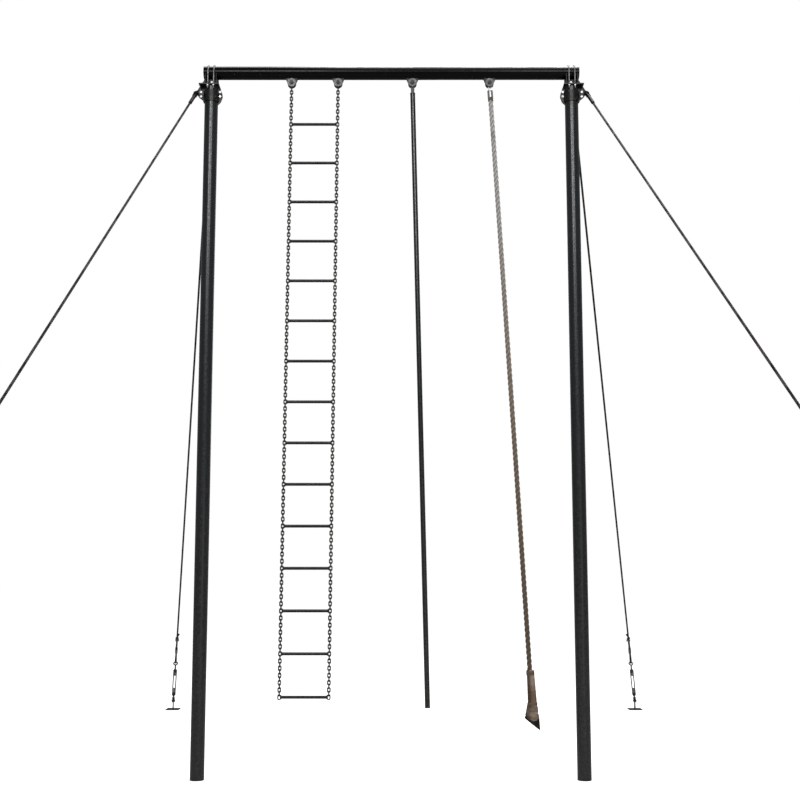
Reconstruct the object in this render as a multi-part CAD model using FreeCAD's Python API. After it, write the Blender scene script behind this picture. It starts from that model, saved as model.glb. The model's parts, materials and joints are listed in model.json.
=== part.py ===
"""Guyed climbing-training stand: two posts, a top beam, four guys, a chain ladder, a pole and a rope.

Frame: millimetres, +Z up. The origin is on the ground, at the centre of the four ground anchors.
The climbing frame stands in the plane y = 0, a little to the left of the origin.
"""
import FreeCAD, Part
import math
import os

os.makedirs("parts", exist_ok=True)

V = FreeCAD.Vector
Z_UP = V(0, 0, 1)

# ---- driving dimensions -------------------------------------------------------------------
FRAME_X = -121.0          # centre of the climbing frame, measured from the origin
POST_SPACING = 3100.0     # between post centres
TUBE_R = 57.15            # posts and beam: 114.3 mm tube
TUBE_WALL = 4.0
POST_TOP_Z = 5785.0
BEAM_Z = 5911.0           # beam centre line
BEAM_HALF = 1612.0
CAP_T = 4.0

PLATE_OUT, PLATE_IN = 100.0, 70.0                # plate welded on each post, from the post's axis
PLATE_Y, PLATE_T = 152.0, 10.0
FIN_OUT, FIN_IN, FIN_T = 62.0, 52.0, 8.0         # upright fin between the plate and the beam
FIN_HOLE_R, FIN_HOLE_Z = 12.0, 5829.0            # lightening hole through the fin
CRADLE_X, CRADLE_T, CRADLE_HALF_Y, CRADLE_FLARE = 47.0, 8.0, 60.0, 15.0
CRADLE_RISE = 34.0        # how far the cradle reaches up beside the beam's lowest line
FIT_GAP = 0.3             # working gap between pieces that touch

UBOLT_R = 6.0
UBOLT_X = 25.0            # each U-bolt from the post's axis
UBOLT_LEG_END = 30.0      # leg below the plate

COLLAR_Z0, COLLAR_H, COLLAR_T = 5645.0, 96.0, 9.0
COLLAR_SPLIT = 2.0        # gap between the halves
EAR_T = 8.0
EAR_OUTLINES = {           # sloped ear plates seen from the front: reach from the post's axis, height
    "outer": ((50.0, 5648.0), (106.0, 5692.0), (132.0, 5734.0), (103.0, 5784.7), (50.0, 5784.7)),
    "inner": ((50.0, 5618.0), (82.0, 5650.0), (97.0, 5694.0), (93.0, 5726.0), (72.0, 5784.7),
              (50.0, 5784.7))}
EAR_BOLT_OUTER, EAR_BOLT_INNER, EAR_BOLT_Z = 88.0, 77.0, 5716.0
EAR_BOLT_DZ = 20.0
LUG_T, LUG_R = 12.0, 22.0
GUY_TOP_Z = 5715.0
FRONT_LUG_X, FRONT_LUG_Y = 127.0, -36.0
BACK_LUG_REACH = 106.0

ANCHOR_PIN_Z = 100.0
ANCHOR_FRONT_X, ANCHOR_BACK_X, ANCHOR_Y = 3250.0, 2705.0, 4500.0
ANCHOR_PLATE, ANCHOR_PLATE_T = 150.0, 10.0
ANCHOR_HOLE_R, ANCHOR_HOLE_SPACING = 7.0, 110.0
ANCHOR_LUG_BASE = 90.0

PIN_R = 7.0
CABLE_R = 10.0
FORK_BARREL_R, FORK_END = 15.0, 160.0    # swaged fork at the top of each cable
SWAGE_DEPTH = 100.0
THIMBLE_R, THIMBLE_T, THIMBLE_W = 20.0, 4.0, 22.0
LOOP_LENGTH = 105.0       # thimble centre to where the two legs of the loop meet
DEAD_END = 290.0          # cable tail beyond that point
TAIL_OFFSET = 21.0        # tail beside the cable
CORNER_R = 110.0
SLEEVE_FROM, SLEEVE_LENGTH, SLEEVE_T = 25.0, 60.0, 4.5    # pressed sleeve round both legs
CLIP_STEP = 235.0

BUCKLE_LENGTH, BUCKLE_HUB_R, BUCKLE_HUB_L = 400.0, 17.0, 32.0
BUCKLE_BAR_T, BUCKLE_BAR_R = 15.5, 6.0
BUCKLE_FROM_PIN = 90.0    # lower end of the body above the anchor pin
SCREW_R, SCREW_PLAY = 8.0, 0.06
EYE_FROM_PIN, EYE_R, EYE_ROD_R = 590.0, 22.0, 6.5
JAW_CHEEK_R, JAW_CHEEK_T, JAW_REACH, JAW_BRIDGE = 18.0, 8.0, 40.0, 12.0

PIN_Z = 5820.0            # hanger bolts
HANGER_BOLT_R = 8.0
HANGER_GAP = 26.0
HANGER_PLATE_T = 8.0
HANGER_TOP_W, HANGER_TIP_W = 94.0, 38.0
HANGER_SHOULDER, HANGER_TIP = 28.0, 35.0   # above and below the bolt
WASHER_R, WASHER_T = 37.0, 4.0
HANGER_HEAD = 30.0        # across the flats
LADDER_X, POLE_X, ROPE_X = -660.0, 181.0, 846.0    # from the frame's centre

LADDER_WIDTH = 400.0      # between chains
RUNG_COUNT, RUNG_PITCH, FIRST_RUNG_Z = 15, 343.2, 5452.0
RUNG_R = 12.5
LINKS_PER_BAY = 12
LINK_WIRE_R, LINK_INNER_R = 5.0, 5.6
LINK_PLAY = 0.4
LADDER_LEAN = math.radians(0.46)      # the chains hang slightly to the left; the rungs stay level
MASTER_WIRE_R, MASTER_INNER_R = 5.0, 13.0

POLE_R, POLE_WALL = 21.0, 3.0
POLE_FOOT_DX, POLE_FOOT_Z = 115.0, 562.0
POLE_NECK, EYE_PLATE_T, EYE_PLATE_R = 92.0, 24.0, 20.0

ROPE_R, ROPE_IN_BOOT = 20.0, 350.0
ROPE_LEAN = math.radians(3.2)
ROPE_EYE_R, ROPE_NECK, FERRULE_R, FERRULE_L = 19.0, 72.0, 23.5, 58.0
BOOT_TOP, BOOT_LENGTH = 4965.0, 471.0              # along the rope, from the bolt
BOOT_RINGS = ((0, 27.0, 2.0), (0.1, 29.0, 4.0), (0.57, 35.5, 3.0),     # share of length, radius, sideways
              (0.7, 44.0, -4.0), (0.8, 54.0, -9.0), (1.0, 56.0, -10.0))
BOOT_SLANT = 0.87                                  # rise per unit width of the cut foot
BOOT_TIP_OUT = 46.0                                # lowest corner, sideways from the rope's axis

LINK_PITCH = RUNG_PITCH / LINKS_PER_BAY
BEAM_X0 = FRAME_X - BEAM_HALF
POSTS = {"left": FRAME_X - POST_SPACING / 2, "right": FRAME_X + POST_SPACING / 2}
OUTWARD = {"left": -1, "right": 1}
CHAINS_X = [FRAME_X + LADDER_X + side * LADDER_WIDTH / 2 for side in (-1, 1)]
HANGERS_X = CHAINS_X + [FRAME_X + POLE_X, FRAME_X + ROPE_X]


# ---- helpers ------------------------------------------------------------------------------
def save(name, shapes):
    """Write one node as a STEP file of closed solids."""
    solids = [solid for shape in shapes for solid in shape.Solids]
    bad = [solid for solid in solids if not solid.isValid()]
    Part.makeCompound(solids).exportStep("parts/%s.step" % name)
    print("%-26s %3d solids %10.1f cm3 %s" % (name, len(solids), sum(s.Volume for s in solids) / 1000,
                                              "BAD" if bad else ""))


def cyl(radius, start, end):
    """A round bar between two points."""
    along = end - start
    return Part.makeCylinder(radius, along.Length, start, along)


def tube(outer, inner, start, end):
    return cyl(outer, start, end).cut(cyl(inner, start, end))


def box(lo, hi):
    return Part.makeBox(hi[0] - lo[0], hi[1] - lo[1], hi[2] - lo[2], V(*lo))


def bent_rod(radius, edges, start, heading):
    """A round rod swept along lines and tangent arcs, and its path."""
    path = Part.Wire([edge.toShape() for edge in edges])
    profile = Part.Wire(Part.makeCircle(radius, start, heading))
    return path.makePipeShell([profile], True, False), path


def u_rod(radius, half_width, leg, middle, bow, across):
    """A U-shaped rod: its bow's centre, the way its bow points and the way across its legs."""
    left, right = middle - across * half_width, middle + across * half_width
    edges = [Part.LineSegment(left - bow * leg, left),
             Part.Arc(left, middle + bow * half_width, right),
             Part.LineSegment(right, right - bow * leg)]
    return bent_rod(radius, edges, left - bow * leg, bow)[0]


def fuse(first, *others):
    return first.multiFuse(list(others)).removeSplitter()


def hexagon(across, start, end):
    """A hexagonal prism between two points, its flats `across` apart."""
    along = end - start
    spin = FreeCAD.Rotation(Z_UP, along)
    corners = [V(across / math.sqrt(3) * math.cos(math.radians(60 * k)),
                 across / math.sqrt(3) * math.sin(math.radians(60 * k)), 0) for k in range(7)]
    face = Part.Face(Part.makePolygon([start + spin.multVec(c) for c in corners]))
    return face.extrude(along)


def plate(outline, thickness, place):
    """A flat plate: its outline in the local XY plane, its thickness centred on local Z."""
    face = Part.Face(Part.makePolygon([V(x, y, -thickness / 2) for x, y in outline + outline[:1]]))
    return put(face.extrude(V(0, 0, thickness)), place)


def put(shape, place):
    moved = shape.copy()
    moved.Placement = place.multiply(moved.Placement)
    return moved


def frame_at(origin, along, across):
    """A placement whose local X runs `along` and local Z runs `across`."""
    side = across.cross(along)
    return FreeCAD.Placement(FreeCAD.Matrix(along.x, side.x, across.x, origin.x,
                                            along.y, side.y, across.y, origin.y,
                                            along.z, side.z, across.z, origin.z,
                                            0, 0, 0, 1))


def upright(origin, heading):
    """A placement in the vertical plane of `heading`: local X along it, local Y up."""
    return frame_at(origin, heading, heading.cross(Z_UP))


def slice_between(shape, lo, hi):
    return shape.common(box(lo, hi))


# ---- posts, beam and the joints between them ----------------------------------------------
def make_posts():
    for side, x in POSTS.items():
        post = tube(TUBE_R, TUBE_R - TUBE_WALL, V(x, 0, 0), V(x, 0, POST_TOP_Z))
        save(side + "_post", [post])


def beam_bar(radius):
    return cyl(radius, V(BEAM_X0, 0, BEAM_Z), V(BEAM_X0 + 2 * BEAM_HALF, 0, BEAM_Z))


def make_beam():
    save("beam", [beam_bar(TUBE_R).cut(beam_bar(TUBE_R - TUBE_WALL))])
    caps = []
    for end, inward in ((BEAM_X0, 1), (BEAM_X0 + 2 * BEAM_HALF, -1)):
        rim = cyl(TUBE_R, V(end - inward * CAP_T, 0, BEAM_Z), V(end, 0, BEAM_Z))
        plug = cyl(TUBE_R - TUBE_WALL - FIT_GAP, V(end, 0, BEAM_Z), V(end + inward * 20, 0, BEAM_Z))
        caps.append(fuse(rim, plug))
    save("beam_end_caps", caps)


def ubolt_legs(x):
    """The axes of one joint's four U-bolt legs, as (x, y) pairs."""
    reach = TUBE_R + UBOLT_R + FIT_GAP
    return [(x + dx, y) for dx in (-UBOLT_X, UBOLT_X) for y in (-reach, reach)]


def make_saddles():
    saddles, ubolts, nuts = [], [], []
    plate_top = POST_TOP_Z + PLATE_T
    reach = TUBE_R + UBOLT_R + FIT_GAP
    for side, x in POSTS.items():
        plate_x = sorted((x + OUTWARD[side] * PLATE_OUT, x - OUTWARD[side] * PLATE_IN))
        body = box((plate_x[0], -PLATE_Y / 2, POST_TOP_Z), (plate_x[1], PLATE_Y / 2, plate_top))
        top = BEAM_Z - TUBE_R + CRADLE_RISE
        fin_top = BEAM_Z - TUBE_R - FIT_GAP
        fin = [(PLATE_OUT, plate_top), (FIN_OUT, fin_top), (-FIN_IN, fin_top), (-PLATE_IN, plate_top)]
        points = [V(x + OUTWARD[side] * dx, -FIN_T / 2, z) for dx, z in fin + fin[:1]]
        body = body.fuse(Part.Face(Part.makePolygon(points)).extrude(V(0, FIN_T, 0)))
        for cx in (x - CRADLE_X, x + CRADLE_X):
            outline = [(-CRADLE_HALF_Y - CRADLE_FLARE, plate_top), (CRADLE_HALF_Y + CRADLE_FLARE, plate_top),
                       (CRADLE_HALF_Y, top), (-CRADLE_HALF_Y, top)]
            wall = [V(cx - CRADLE_T / 2, y, z) for y, z in outline + outline[:1]]
            body = body.fuse(Part.Face(Part.makePolygon(wall)).extrude(V(CRADLE_T, 0, 0)))
        body = body.cut(beam_bar(TUBE_R + FIT_GAP))
        body = body.cut(cyl(FIN_HOLE_R, V(x, -FIN_T, FIN_HOLE_Z), V(x, FIN_T, FIN_HOLE_Z)))
        for lx, ly in ubolt_legs(x):
            body = body.cut(cyl(UBOLT_R + 0.8, V(lx, ly, POST_TOP_Z - 1), V(lx, ly, plate_top + 1)))
            nuts.append(hexagon(19, V(lx, ly, POST_TOP_Z - 10), V(lx, ly, POST_TOP_Z)).cut(
                cyl(UBOLT_R, V(lx, ly, POST_TOP_Z - 12), V(lx, ly, POST_TOP_Z + 2))))
        saddles.append(body.removeSplitter())
        leg = BEAM_Z - POST_TOP_Z + UBOLT_LEG_END
        ubolts += [u_rod(UBOLT_R, reach, leg, V(ux, 0, BEAM_Z), Z_UP, V(0, 1, 0))
                   for ux in (x - UBOLT_X, x + UBOLT_X)]
    save("post_saddles", saddles)
    save("saddle_u_bolts", ubolts)
    save("saddle_nuts", nuts)


# ---- guys ---------------------------------------------------------------------------------
def guy_points(side, end):
    """The upper pin and the anchor pin of one guy."""
    out = OUTWARD[side]
    x = POSTS[side]
    if end == "front":
        top = V(x + out * FRONT_LUG_X, FRONT_LUG_Y, GUY_TOP_Z)
        return top, V(out * ANCHOR_FRONT_X, -ANCHOR_Y, ANCHOR_PIN_Z)
    foot = V(out * ANCHOR_BACK_X, ANCHOR_Y, ANCHOR_PIN_Z)
    heading = V(foot.x - x, foot.y, 0).normalize()
    return V(x, 0, GUY_TOP_Z) + heading * BACK_LUG_REACH, foot


def guy_frame(side, end):
    """Placement of one guy (X down the guy, Z along its pins), its heading and its length."""
    top, foot = guy_points(side, end)
    heading = V(foot.x - top.x, foot.y - top.y, 0).normalize()
    along = (foot - top).normalize()
    return frame_at(top, along, heading.cross(Z_UP)), heading, (foot - top).Length


GUYS = [(side, end) for end in ("front", "back") for side in ("left", "right")]


def lug(place, root, root_drop, root_rise):
    """A rounded lug plate: pin hole at the local origin, root at local x = -root."""
    outline = [(-root, -root_drop), (0, -LUG_R), (0, LUG_R), (-root, root_rise)]
    tip = put(cyl(LUG_R, V(0, 0, -LUG_T / 2), V(0, 0, LUG_T / 2)), place)
    hole = put(cyl(PIN_R + FIT_GAP, V(0, 0, -LUG_T), V(0, 0, LUG_T)), place)
    return plate(outline, LUG_T, place).fuse(tip).cut(hole)


def make_collars():
    collars, bolts = [], []
    z0, z1 = COLLAR_Z0, COLLAR_Z0 + COLLAR_H
    zc = EAR_BOLT_Z
    outer_r = TUBE_R + FIT_GAP + COLLAR_T
    for side, x in POSTS.items():
        out = OUTWARD[side]
        bolt_spots = ((x + out * EAR_BOLT_OUTER), (x - out * EAR_BOLT_INNER))
        for half in (-1, 1):
            near = half * COLLAR_SPLIT / 2
            body = cyl(outer_r, V(x, 0, z0), V(x, 0, z1))
            for ear, way in (("outer", out), ("inner", -out)):
                points = [V(x + way * reach, near, z) for reach, z in EAR_OUTLINES[ear]]
                face = Part.Face(Part.makePolygon(points + points[:1]))
                body = body.fuse(face.extrude(V(0, half * EAR_T, 0)))
            place, heading, _ = guy_frame(side, "front" if half < 0 else "back")
            spot = upright(place.Base, heading)
            if half < 0:
                body = body.fuse(lug(spot, -FRONT_LUG_Y - 3, 8, 42))
            else:
                body = body.fuse(lug(spot, BACK_LUG_REACH - TUBE_R - 6, 40, 26))
            body = body.cut(cyl(TUBE_R + FIT_GAP, V(x, 0, z0 - 50), V(x, 0, z1 + 50)))
            for bx in bolt_spots:
                for dz in (-EAR_BOLT_DZ, EAR_BOLT_DZ):
                    body = body.cut(cyl(6.5, V(bx, -40, zc + dz), V(bx, 40, zc + dz)))
            keep = sorted((near, half * 300))
            body = slice_between(body, (x - 300, keep[0], z0 - 50), (x + 300, keep[1], z1 + 50))
            collars.append(body.removeSplitter())
        for bx in bolt_spots:
            for dz in (-EAR_BOLT_DZ, EAR_BOLT_DZ):
                face = COLLAR_SPLIT / 2 + EAR_T
                head = hexagon(19, V(bx, -face - 8, zc + dz), V(bx, -face, zc + dz))
                shank = cyl(6, V(bx, -face, zc + dz), V(bx, face + 16, zc + dz))
                nut = hexagon(19, V(bx, face, zc + dz), V(bx, face + 10, zc + dz))
                bolts.append(fuse(head, shank))
                bolts.append(nut.cut(cyl(6, V(bx, 0, zc + dz), V(bx, 60, zc + dz))))
    save("guy_collars", collars)
    save("collar_bolts", bolts)


def fork(pin_x, way):
    """Two cheeks and the bridge of a fork at local x = pin_x that opens towards -way."""
    pieces = []
    for side in (-1, 1):
        z0, z1 = side * (LUG_T / 2 + 1), side * (LUG_T / 2 + 1 + JAW_CHEEK_T)
        pieces.append(cyl(JAW_CHEEK_R, V(pin_x, 0, z0), V(pin_x, 0, z1)))
        x0, x1 = sorted((pin_x, pin_x + way * (JAW_REACH + JAW_BRIDGE)))
        pieces.append(box((x0, -13, min(z0, z1)), (x1, 13, max(z0, z1))))
    x0, x1 = sorted((pin_x + way * JAW_REACH, pin_x + way * (JAW_REACH + JAW_BRIDGE)))
    return pieces + [box((x0, -13, -15), (x1, 13, 15))]


def fork_pin(pin_x):
    return fuse(cyl(PIN_R, V(pin_x, 0, -22), V(pin_x, 0, 20)), cyl(11, V(pin_x, 0, 15.5), V(pin_x, 0, 21)))


def pin_bore(pin_x):
    return cyl(PIN_R + 0.05, V(pin_x, 0, -60), V(pin_x, 0, 60))


def cable_fork():
    """The swaged fork at the top of a cable, pinned at the local origin, and its pin."""
    barrel = cyl(FORK_BARREL_R, V(JAW_REACH + 2, 0, 0), V(FORK_END, 0, 0))
    socket = cyl(CABLE_R, V(FORK_END - SWAGE_DEPTH, 0, 0), V(FORK_END + 1, 0, 0))
    body = fuse(barrel, *fork(0, 1)).cut(pin_bore(0)).cut(socket)
    return [body, fork_pin(0)]


def tangent(centre, radius, point, turn):
    """Where the line from `point` touches the circle, as an angle; turn picks the side."""
    dx, dy = point[0] - centre, point[1]
    return math.atan2(dy, dx) + turn * math.acos(radius / math.hypot(dx, dy))


def polar(centre, radius, angle):
    return V(centre + radius * math.cos(angle), radius * math.sin(angle), 0)


def rounded(before, corner, after, radius):
    """The tangent arc that rounds one corner of a path, as its start, middle and end."""
    a = (before - corner).normalize()
    b = (after - corner).normalize()
    half = math.acos(max(-1, min(1, a.dot(b)))) / 2
    middle_dir = (a + b).normalize()
    reach = radius / math.tan(half)
    middle = corner + middle_dir * (radius / math.sin(half) - radius)
    return corner + a * reach, middle, corner + b * reach


def loop_angles(centre):
    """Tangent angles of the tail and of the live cable at a thimble, the loop's radius and its mouth."""
    meet = centre - LOOP_LENGTH
    radius = THIMBLE_R + THIMBLE_T + 0.2 + CABLE_R
    tail = tangent(centre, radius, (meet, TAIL_OFFSET), -1)
    live = tangent(centre, radius, (meet, 0), 1)
    return tail, live, radius, meet


def cable(foot_c):
    """One cable: straight from its fork to an eye round the thimble, and a tail beside it."""
    start = V(FORK_END - SWAGE_DEPTH, 0, 0)
    tail, live, radius, meet = loop_angles(foot_c)
    enter, leave = polar(foot_c, radius, live), polar(foot_c, radius, tail)
    first = rounded(start, V(meet, 0, 0), enter, CORNER_R)
    back = [leave, V(meet, TAIL_OFFSET, 0), V(meet - DEAD_END, TAIL_OFFSET, 0)]
    second = rounded(*back, CORNER_R)
    edges = [Part.LineSegment(start, first[0]), Part.Arc(*first), Part.LineSegment(first[2], enter),
             Part.Arc(enter, polar(foot_c, radius, 0), leave),
             Part.LineSegment(leave, second[0]), Part.Arc(*second), Part.LineSegment(second[2], back[2])]
    solid, wire = bent_rod(CABLE_R, edges, start, V(1, 0, 0))
    print("cable length %.0f, volume over section times length %.4f, arc radii %.0f and %.0f"
          % (wire.Length, solid.Volume / (math.pi * CABLE_R ** 2 * wire.Length), CORNER_R, radius))
    return solid


def thimble(centre):
    """An open teardrop thimble inside the cable's eye."""
    tail, live, radius, meet = loop_angles(centre)
    outer, inner = THIMBLE_R + THIMBLE_T, THIMBLE_R
    low = -THIMBLE_W / 2
    sides = []
    for angle, end in ((tail, V(meet, TAIL_OFFSET, 0)), (live, V(meet, 0, 0))):
        run = (end - polar(centre, radius, angle)).normalize() * 42
        sides.append((angle, run))
    (ta, trun), (la, lrun) = sides

    def at(r, angle, shift=None):
        spot = polar(centre, r, angle) + (shift or V())
        return V(spot.x, spot.y, low)

    edges = [Part.LineSegment(at(outer, ta, trun), at(outer, ta)),
             Part.Arc(at(outer, ta), at(outer, 0), at(outer, la)),
             Part.LineSegment(at(outer, la), at(outer, la, lrun)),
             Part.LineSegment(at(outer, la, lrun), at(inner, la, lrun)),
             Part.LineSegment(at(inner, la, lrun), at(inner, la)),
             Part.Arc(at(inner, la), at(inner, 0), at(inner, ta)),
             Part.LineSegment(at(inner, ta), at(inner, ta, trun)),
             Part.LineSegment(at(inner, ta, trun), at(outer, ta, trun))]
    face = Part.Face(Part.Wire([edge.toShape() for edge in edges]))
    return face.extrude(V(0, 0, THIMBLE_W))


def sleeve(start):
    """A pressed sleeve round the cable and its tail, from local x = start."""
    end = start + SLEEVE_LENGTH
    outer = CABLE_R + SLEEVE_T
    shell = [cyl(outer, V(start, y, 0), V(end, y, 0)) for y in (0, TAIL_OFFSET)]
    shell.append(box((start, 0, -outer), (end, TAIL_OFFSET, outer)))
    body = fuse(*shell)
    for y in (0, TAIL_OFFSET):
        body = body.cut(cyl(CABLE_R + 0.1, V(start - 1, y, 0), V(end + 1, y, 0)))
    return body


def clip(spot):
    """One wire-rope clip at local x = spot: U-bolt, saddle and two nuts."""
    rod = 4.0
    leg_z = CABLE_R + rod + FIT_GAP
    foot = -CABLE_R - 26
    u_bolt = u_rod(rod, leg_z, TAIL_OFFSET - foot, V(spot, TAIL_OFFSET, 0), V(0, 1, 0), Z_UP)
    saddle = box((spot - 11, -CABLE_R - 8, -20), (spot + 11, -CABLE_R + 5, 20))
    saddle = saddle.cut(cyl(CABLE_R + FIT_GAP, V(spot - 20, 0, 0), V(spot + 20, 0, 0)))
    nuts = []
    for z in (-leg_z, leg_z):
        bore = cyl(rod + 0.1, V(spot, -100, z), V(spot, 100, z))
        saddle = saddle.cut(bore)
        nuts.append(hexagon(13, V(spot, -CABLE_R - 16, z), V(spot, -CABLE_R - 8, z)).cut(bore))
    return [u_bolt, saddle] + nuts


def turnbuckle_body(length):
    start = length - BUCKLE_FROM_PIN - BUCKLE_LENGTH
    end = length - BUCKLE_FROM_PIN
    hubs = [cyl(BUCKLE_HUB_R, V(a, 0, 0), V(a + BUCKLE_HUB_L, 0, 0)) for a in (start, end - BUCKLE_HUB_L)]
    bars = [cyl(BUCKLE_BAR_R, V(start + 4, 0, z), V(end - 4, 0, z)) for z in (-BUCKLE_BAR_T, BUCKLE_BAR_T)]
    return fuse(hubs[0], hubs[1], *bars).cut(
        cyl(SCREW_R + SCREW_PLAY, V(start - 5, 0, 0), V(end + 5, 0, 0)))


def turnbuckle_screws(length):
    """The eye screw above, the jaw screw below and the jaw's pin."""
    eye_c = length - EYE_FROM_PIN
    eye = Part.makeTorus(EYE_R, EYE_ROD_R, V(eye_c, 0, 0), V(0, 1, 0))
    upper = eye.fuse(cyl(SCREW_R, V(eye_c + EYE_R, 0, 0), V(eye_c + 190, 0, 0)))
    screw = cyl(SCREW_R, V(length - JAW_REACH - JAW_BRIDGE - 150, 0, 0), V(length - JAW_REACH - 2, 0, 0))
    lower = fuse(screw, *fork(length, -1)).cut(pin_bore(length))
    return [upper, lower, fork_pin(length)]


def make_guys():
    forks, thimbles, clamps, screws, anchors = [], [], [], [], []
    eye_inner = EYE_R - EYE_ROD_R
    for side, end in GUYS:
        place, heading, length = guy_frame(side, end)
        foot_c = (length - EYE_FROM_PIN - math.sqrt(eye_inner ** 2 - (THIMBLE_W / 2) ** 2)
                  + FIT_GAP - THIMBLE_R)
        meet = foot_c - LOOP_LENGTH
        forks += [put(shape, place) for shape in cable_fork()]
        thimbles.append(put(thimble(foot_c), place))
        save("guy_cable_%s_%s" % (end, side), [put(cable(foot_c), place)])
        clamps.append(put(sleeve(meet - SLEEVE_FROM - SLEEVE_LENGTH), place))
        clamps += [put(shape, place) for shape in clip(meet - CLIP_STEP)]
        save("turnbuckle_body_%s_%s" % (end, side), [put(turnbuckle_body(length), place)])
        screws += [put(shape, place) for shape in turnbuckle_screws(length)]
        anchors.append(ground_anchor(guy_points(side, end)[1], heading))
        middle = length - BUCKLE_FROM_PIN - BUCKLE_LENGTH / 2
        print("guy %s %s: pin to pin %.0f, axis %s, buckle centre %s" % (
            end, side, length, tuple(round(c, 5) for c in place.Rotation.multVec(V(1, 0, 0))),
            tuple(round(c, 2) for c in place.multVec(V(middle, 0, 0)))))
    save("cable_forks", forks)
    save("cable_thimbles", thimbles)
    save("cable_clamps", clamps)
    save("turnbuckle_screws", screws)
    save("ground_anchors", anchors)


def ground_anchor(pin, heading):
    """A square ground plate with four bolt holes and an upright lug."""
    half = ANCHOR_PLATE / 2
    body = box((pin.x - half, pin.y - half, 0), (pin.x + half, pin.y + half, ANCHOR_PLATE_T))
    place = upright(pin, heading)
    drop = ANCHOR_PLATE_T - pin.z
    outline = [(-ANCHOR_LUG_BASE / 2, drop), (ANCHOR_LUG_BASE / 2, drop), (LUG_R, 0), (-LUG_R, 0)]
    body = body.fuse(plate(outline, LUG_T, place))
    body = body.fuse(put(cyl(LUG_R, V(0, 0, -LUG_T / 2), V(0, 0, LUG_T / 2)), place))
    body = body.cut(put(cyl(PIN_R + FIT_GAP, V(0, 0, -LUG_T), V(0, 0, LUG_T)), place))
    reach = ANCHOR_HOLE_SPACING / 2
    for dx in (-reach, reach):
        for dy in (-reach, reach):
            body = body.cut(cyl(ANCHOR_HOLE_R, V(pin.x + dx, pin.y + dy, -5), V(pin.x + dx, pin.y + dy, 30)))
    return body.removeSplitter()


# ---- hangers under the beam ---------------------------------------------------------------
def make_hangers():
    lugs, bolts, washers = [], [], []
    face = HANGER_GAP / 2 + HANGER_PLATE_T
    for x in HANGERS_X:
        for y0 in (-face, HANGER_GAP / 2):
            outline = [(-HANGER_TOP_W / 2, BEAM_Z - 30), (HANGER_TOP_W / 2, BEAM_Z - 30),
                       (HANGER_TOP_W / 2, PIN_Z + HANGER_SHOULDER), (HANGER_TIP_W / 2, PIN_Z - HANGER_TIP),
                       (-HANGER_TIP_W / 2, PIN_Z - HANGER_TIP), (-HANGER_TOP_W / 2, PIN_Z + HANGER_SHOULDER)]
            points = [V(x + dx, y0, z) for dx, z in outline + outline[:1]]
            body = Part.Face(Part.makePolygon(points)).extrude(V(0, HANGER_PLATE_T, 0))
            hole = cyl(HANGER_BOLT_R + FIT_GAP, V(x, -60, PIN_Z), V(x, 60, PIN_Z))
            body = body.cut(beam_bar(TUBE_R)).cut(hole)
            lugs.append(body)
        outer = face + WASHER_T
        washers += [tube(WASHER_R, HANGER_BOLT_R + 0.5, V(x, side * face, PIN_Z), V(x, side * outer, PIN_Z))
                    for side in (-1, 1)]
        head = hexagon(HANGER_HEAD, V(x, -outer - 10, PIN_Z), V(x, -outer, PIN_Z))
        bolts.append(fuse(head, cyl(HANGER_BOLT_R, V(x, -outer, PIN_Z), V(x, outer + 20, PIN_Z))))
        bolts.append(hexagon(HANGER_HEAD, V(x, outer, PIN_Z), V(x, outer + 13, PIN_Z)).cut(
            cyl(HANGER_BOLT_R, V(x, 0, PIN_Z), V(x, 90, PIN_Z))))
    save("hanger_lugs", lugs)
    save("hanger_bolts", bolts)
    save("hanger_washers", washers)


# ---- chain ladder -------------------------------------------------------------------------
def link(centre, inner_length, inner_r, wire_r, face_on):
    """One oval chain link, in the XZ plane when face_on and in the YZ plane otherwise."""
    half = inner_length / 2 - inner_r
    major = inner_r + wire_r
    pieces = []
    for side in (-1, 1):
        pieces.append(cyl(wire_r, V(side * major, 0, -half), V(side * major, 0, half)))
        ring = Part.makeTorus(major, wire_r, V(0, 0, side * half), V(0, 1, 0))
        lo, hi = sorted((side * half, side * (half + 60)))
        pieces.append(slice_between(ring, (-60, -60, lo), (60, 60, hi)))
    shape = fuse(*pieces)
    if not face_on:
        shape.rotate(V(), Z_UP, 90)
    shape.translate(centre)
    return shape


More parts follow.
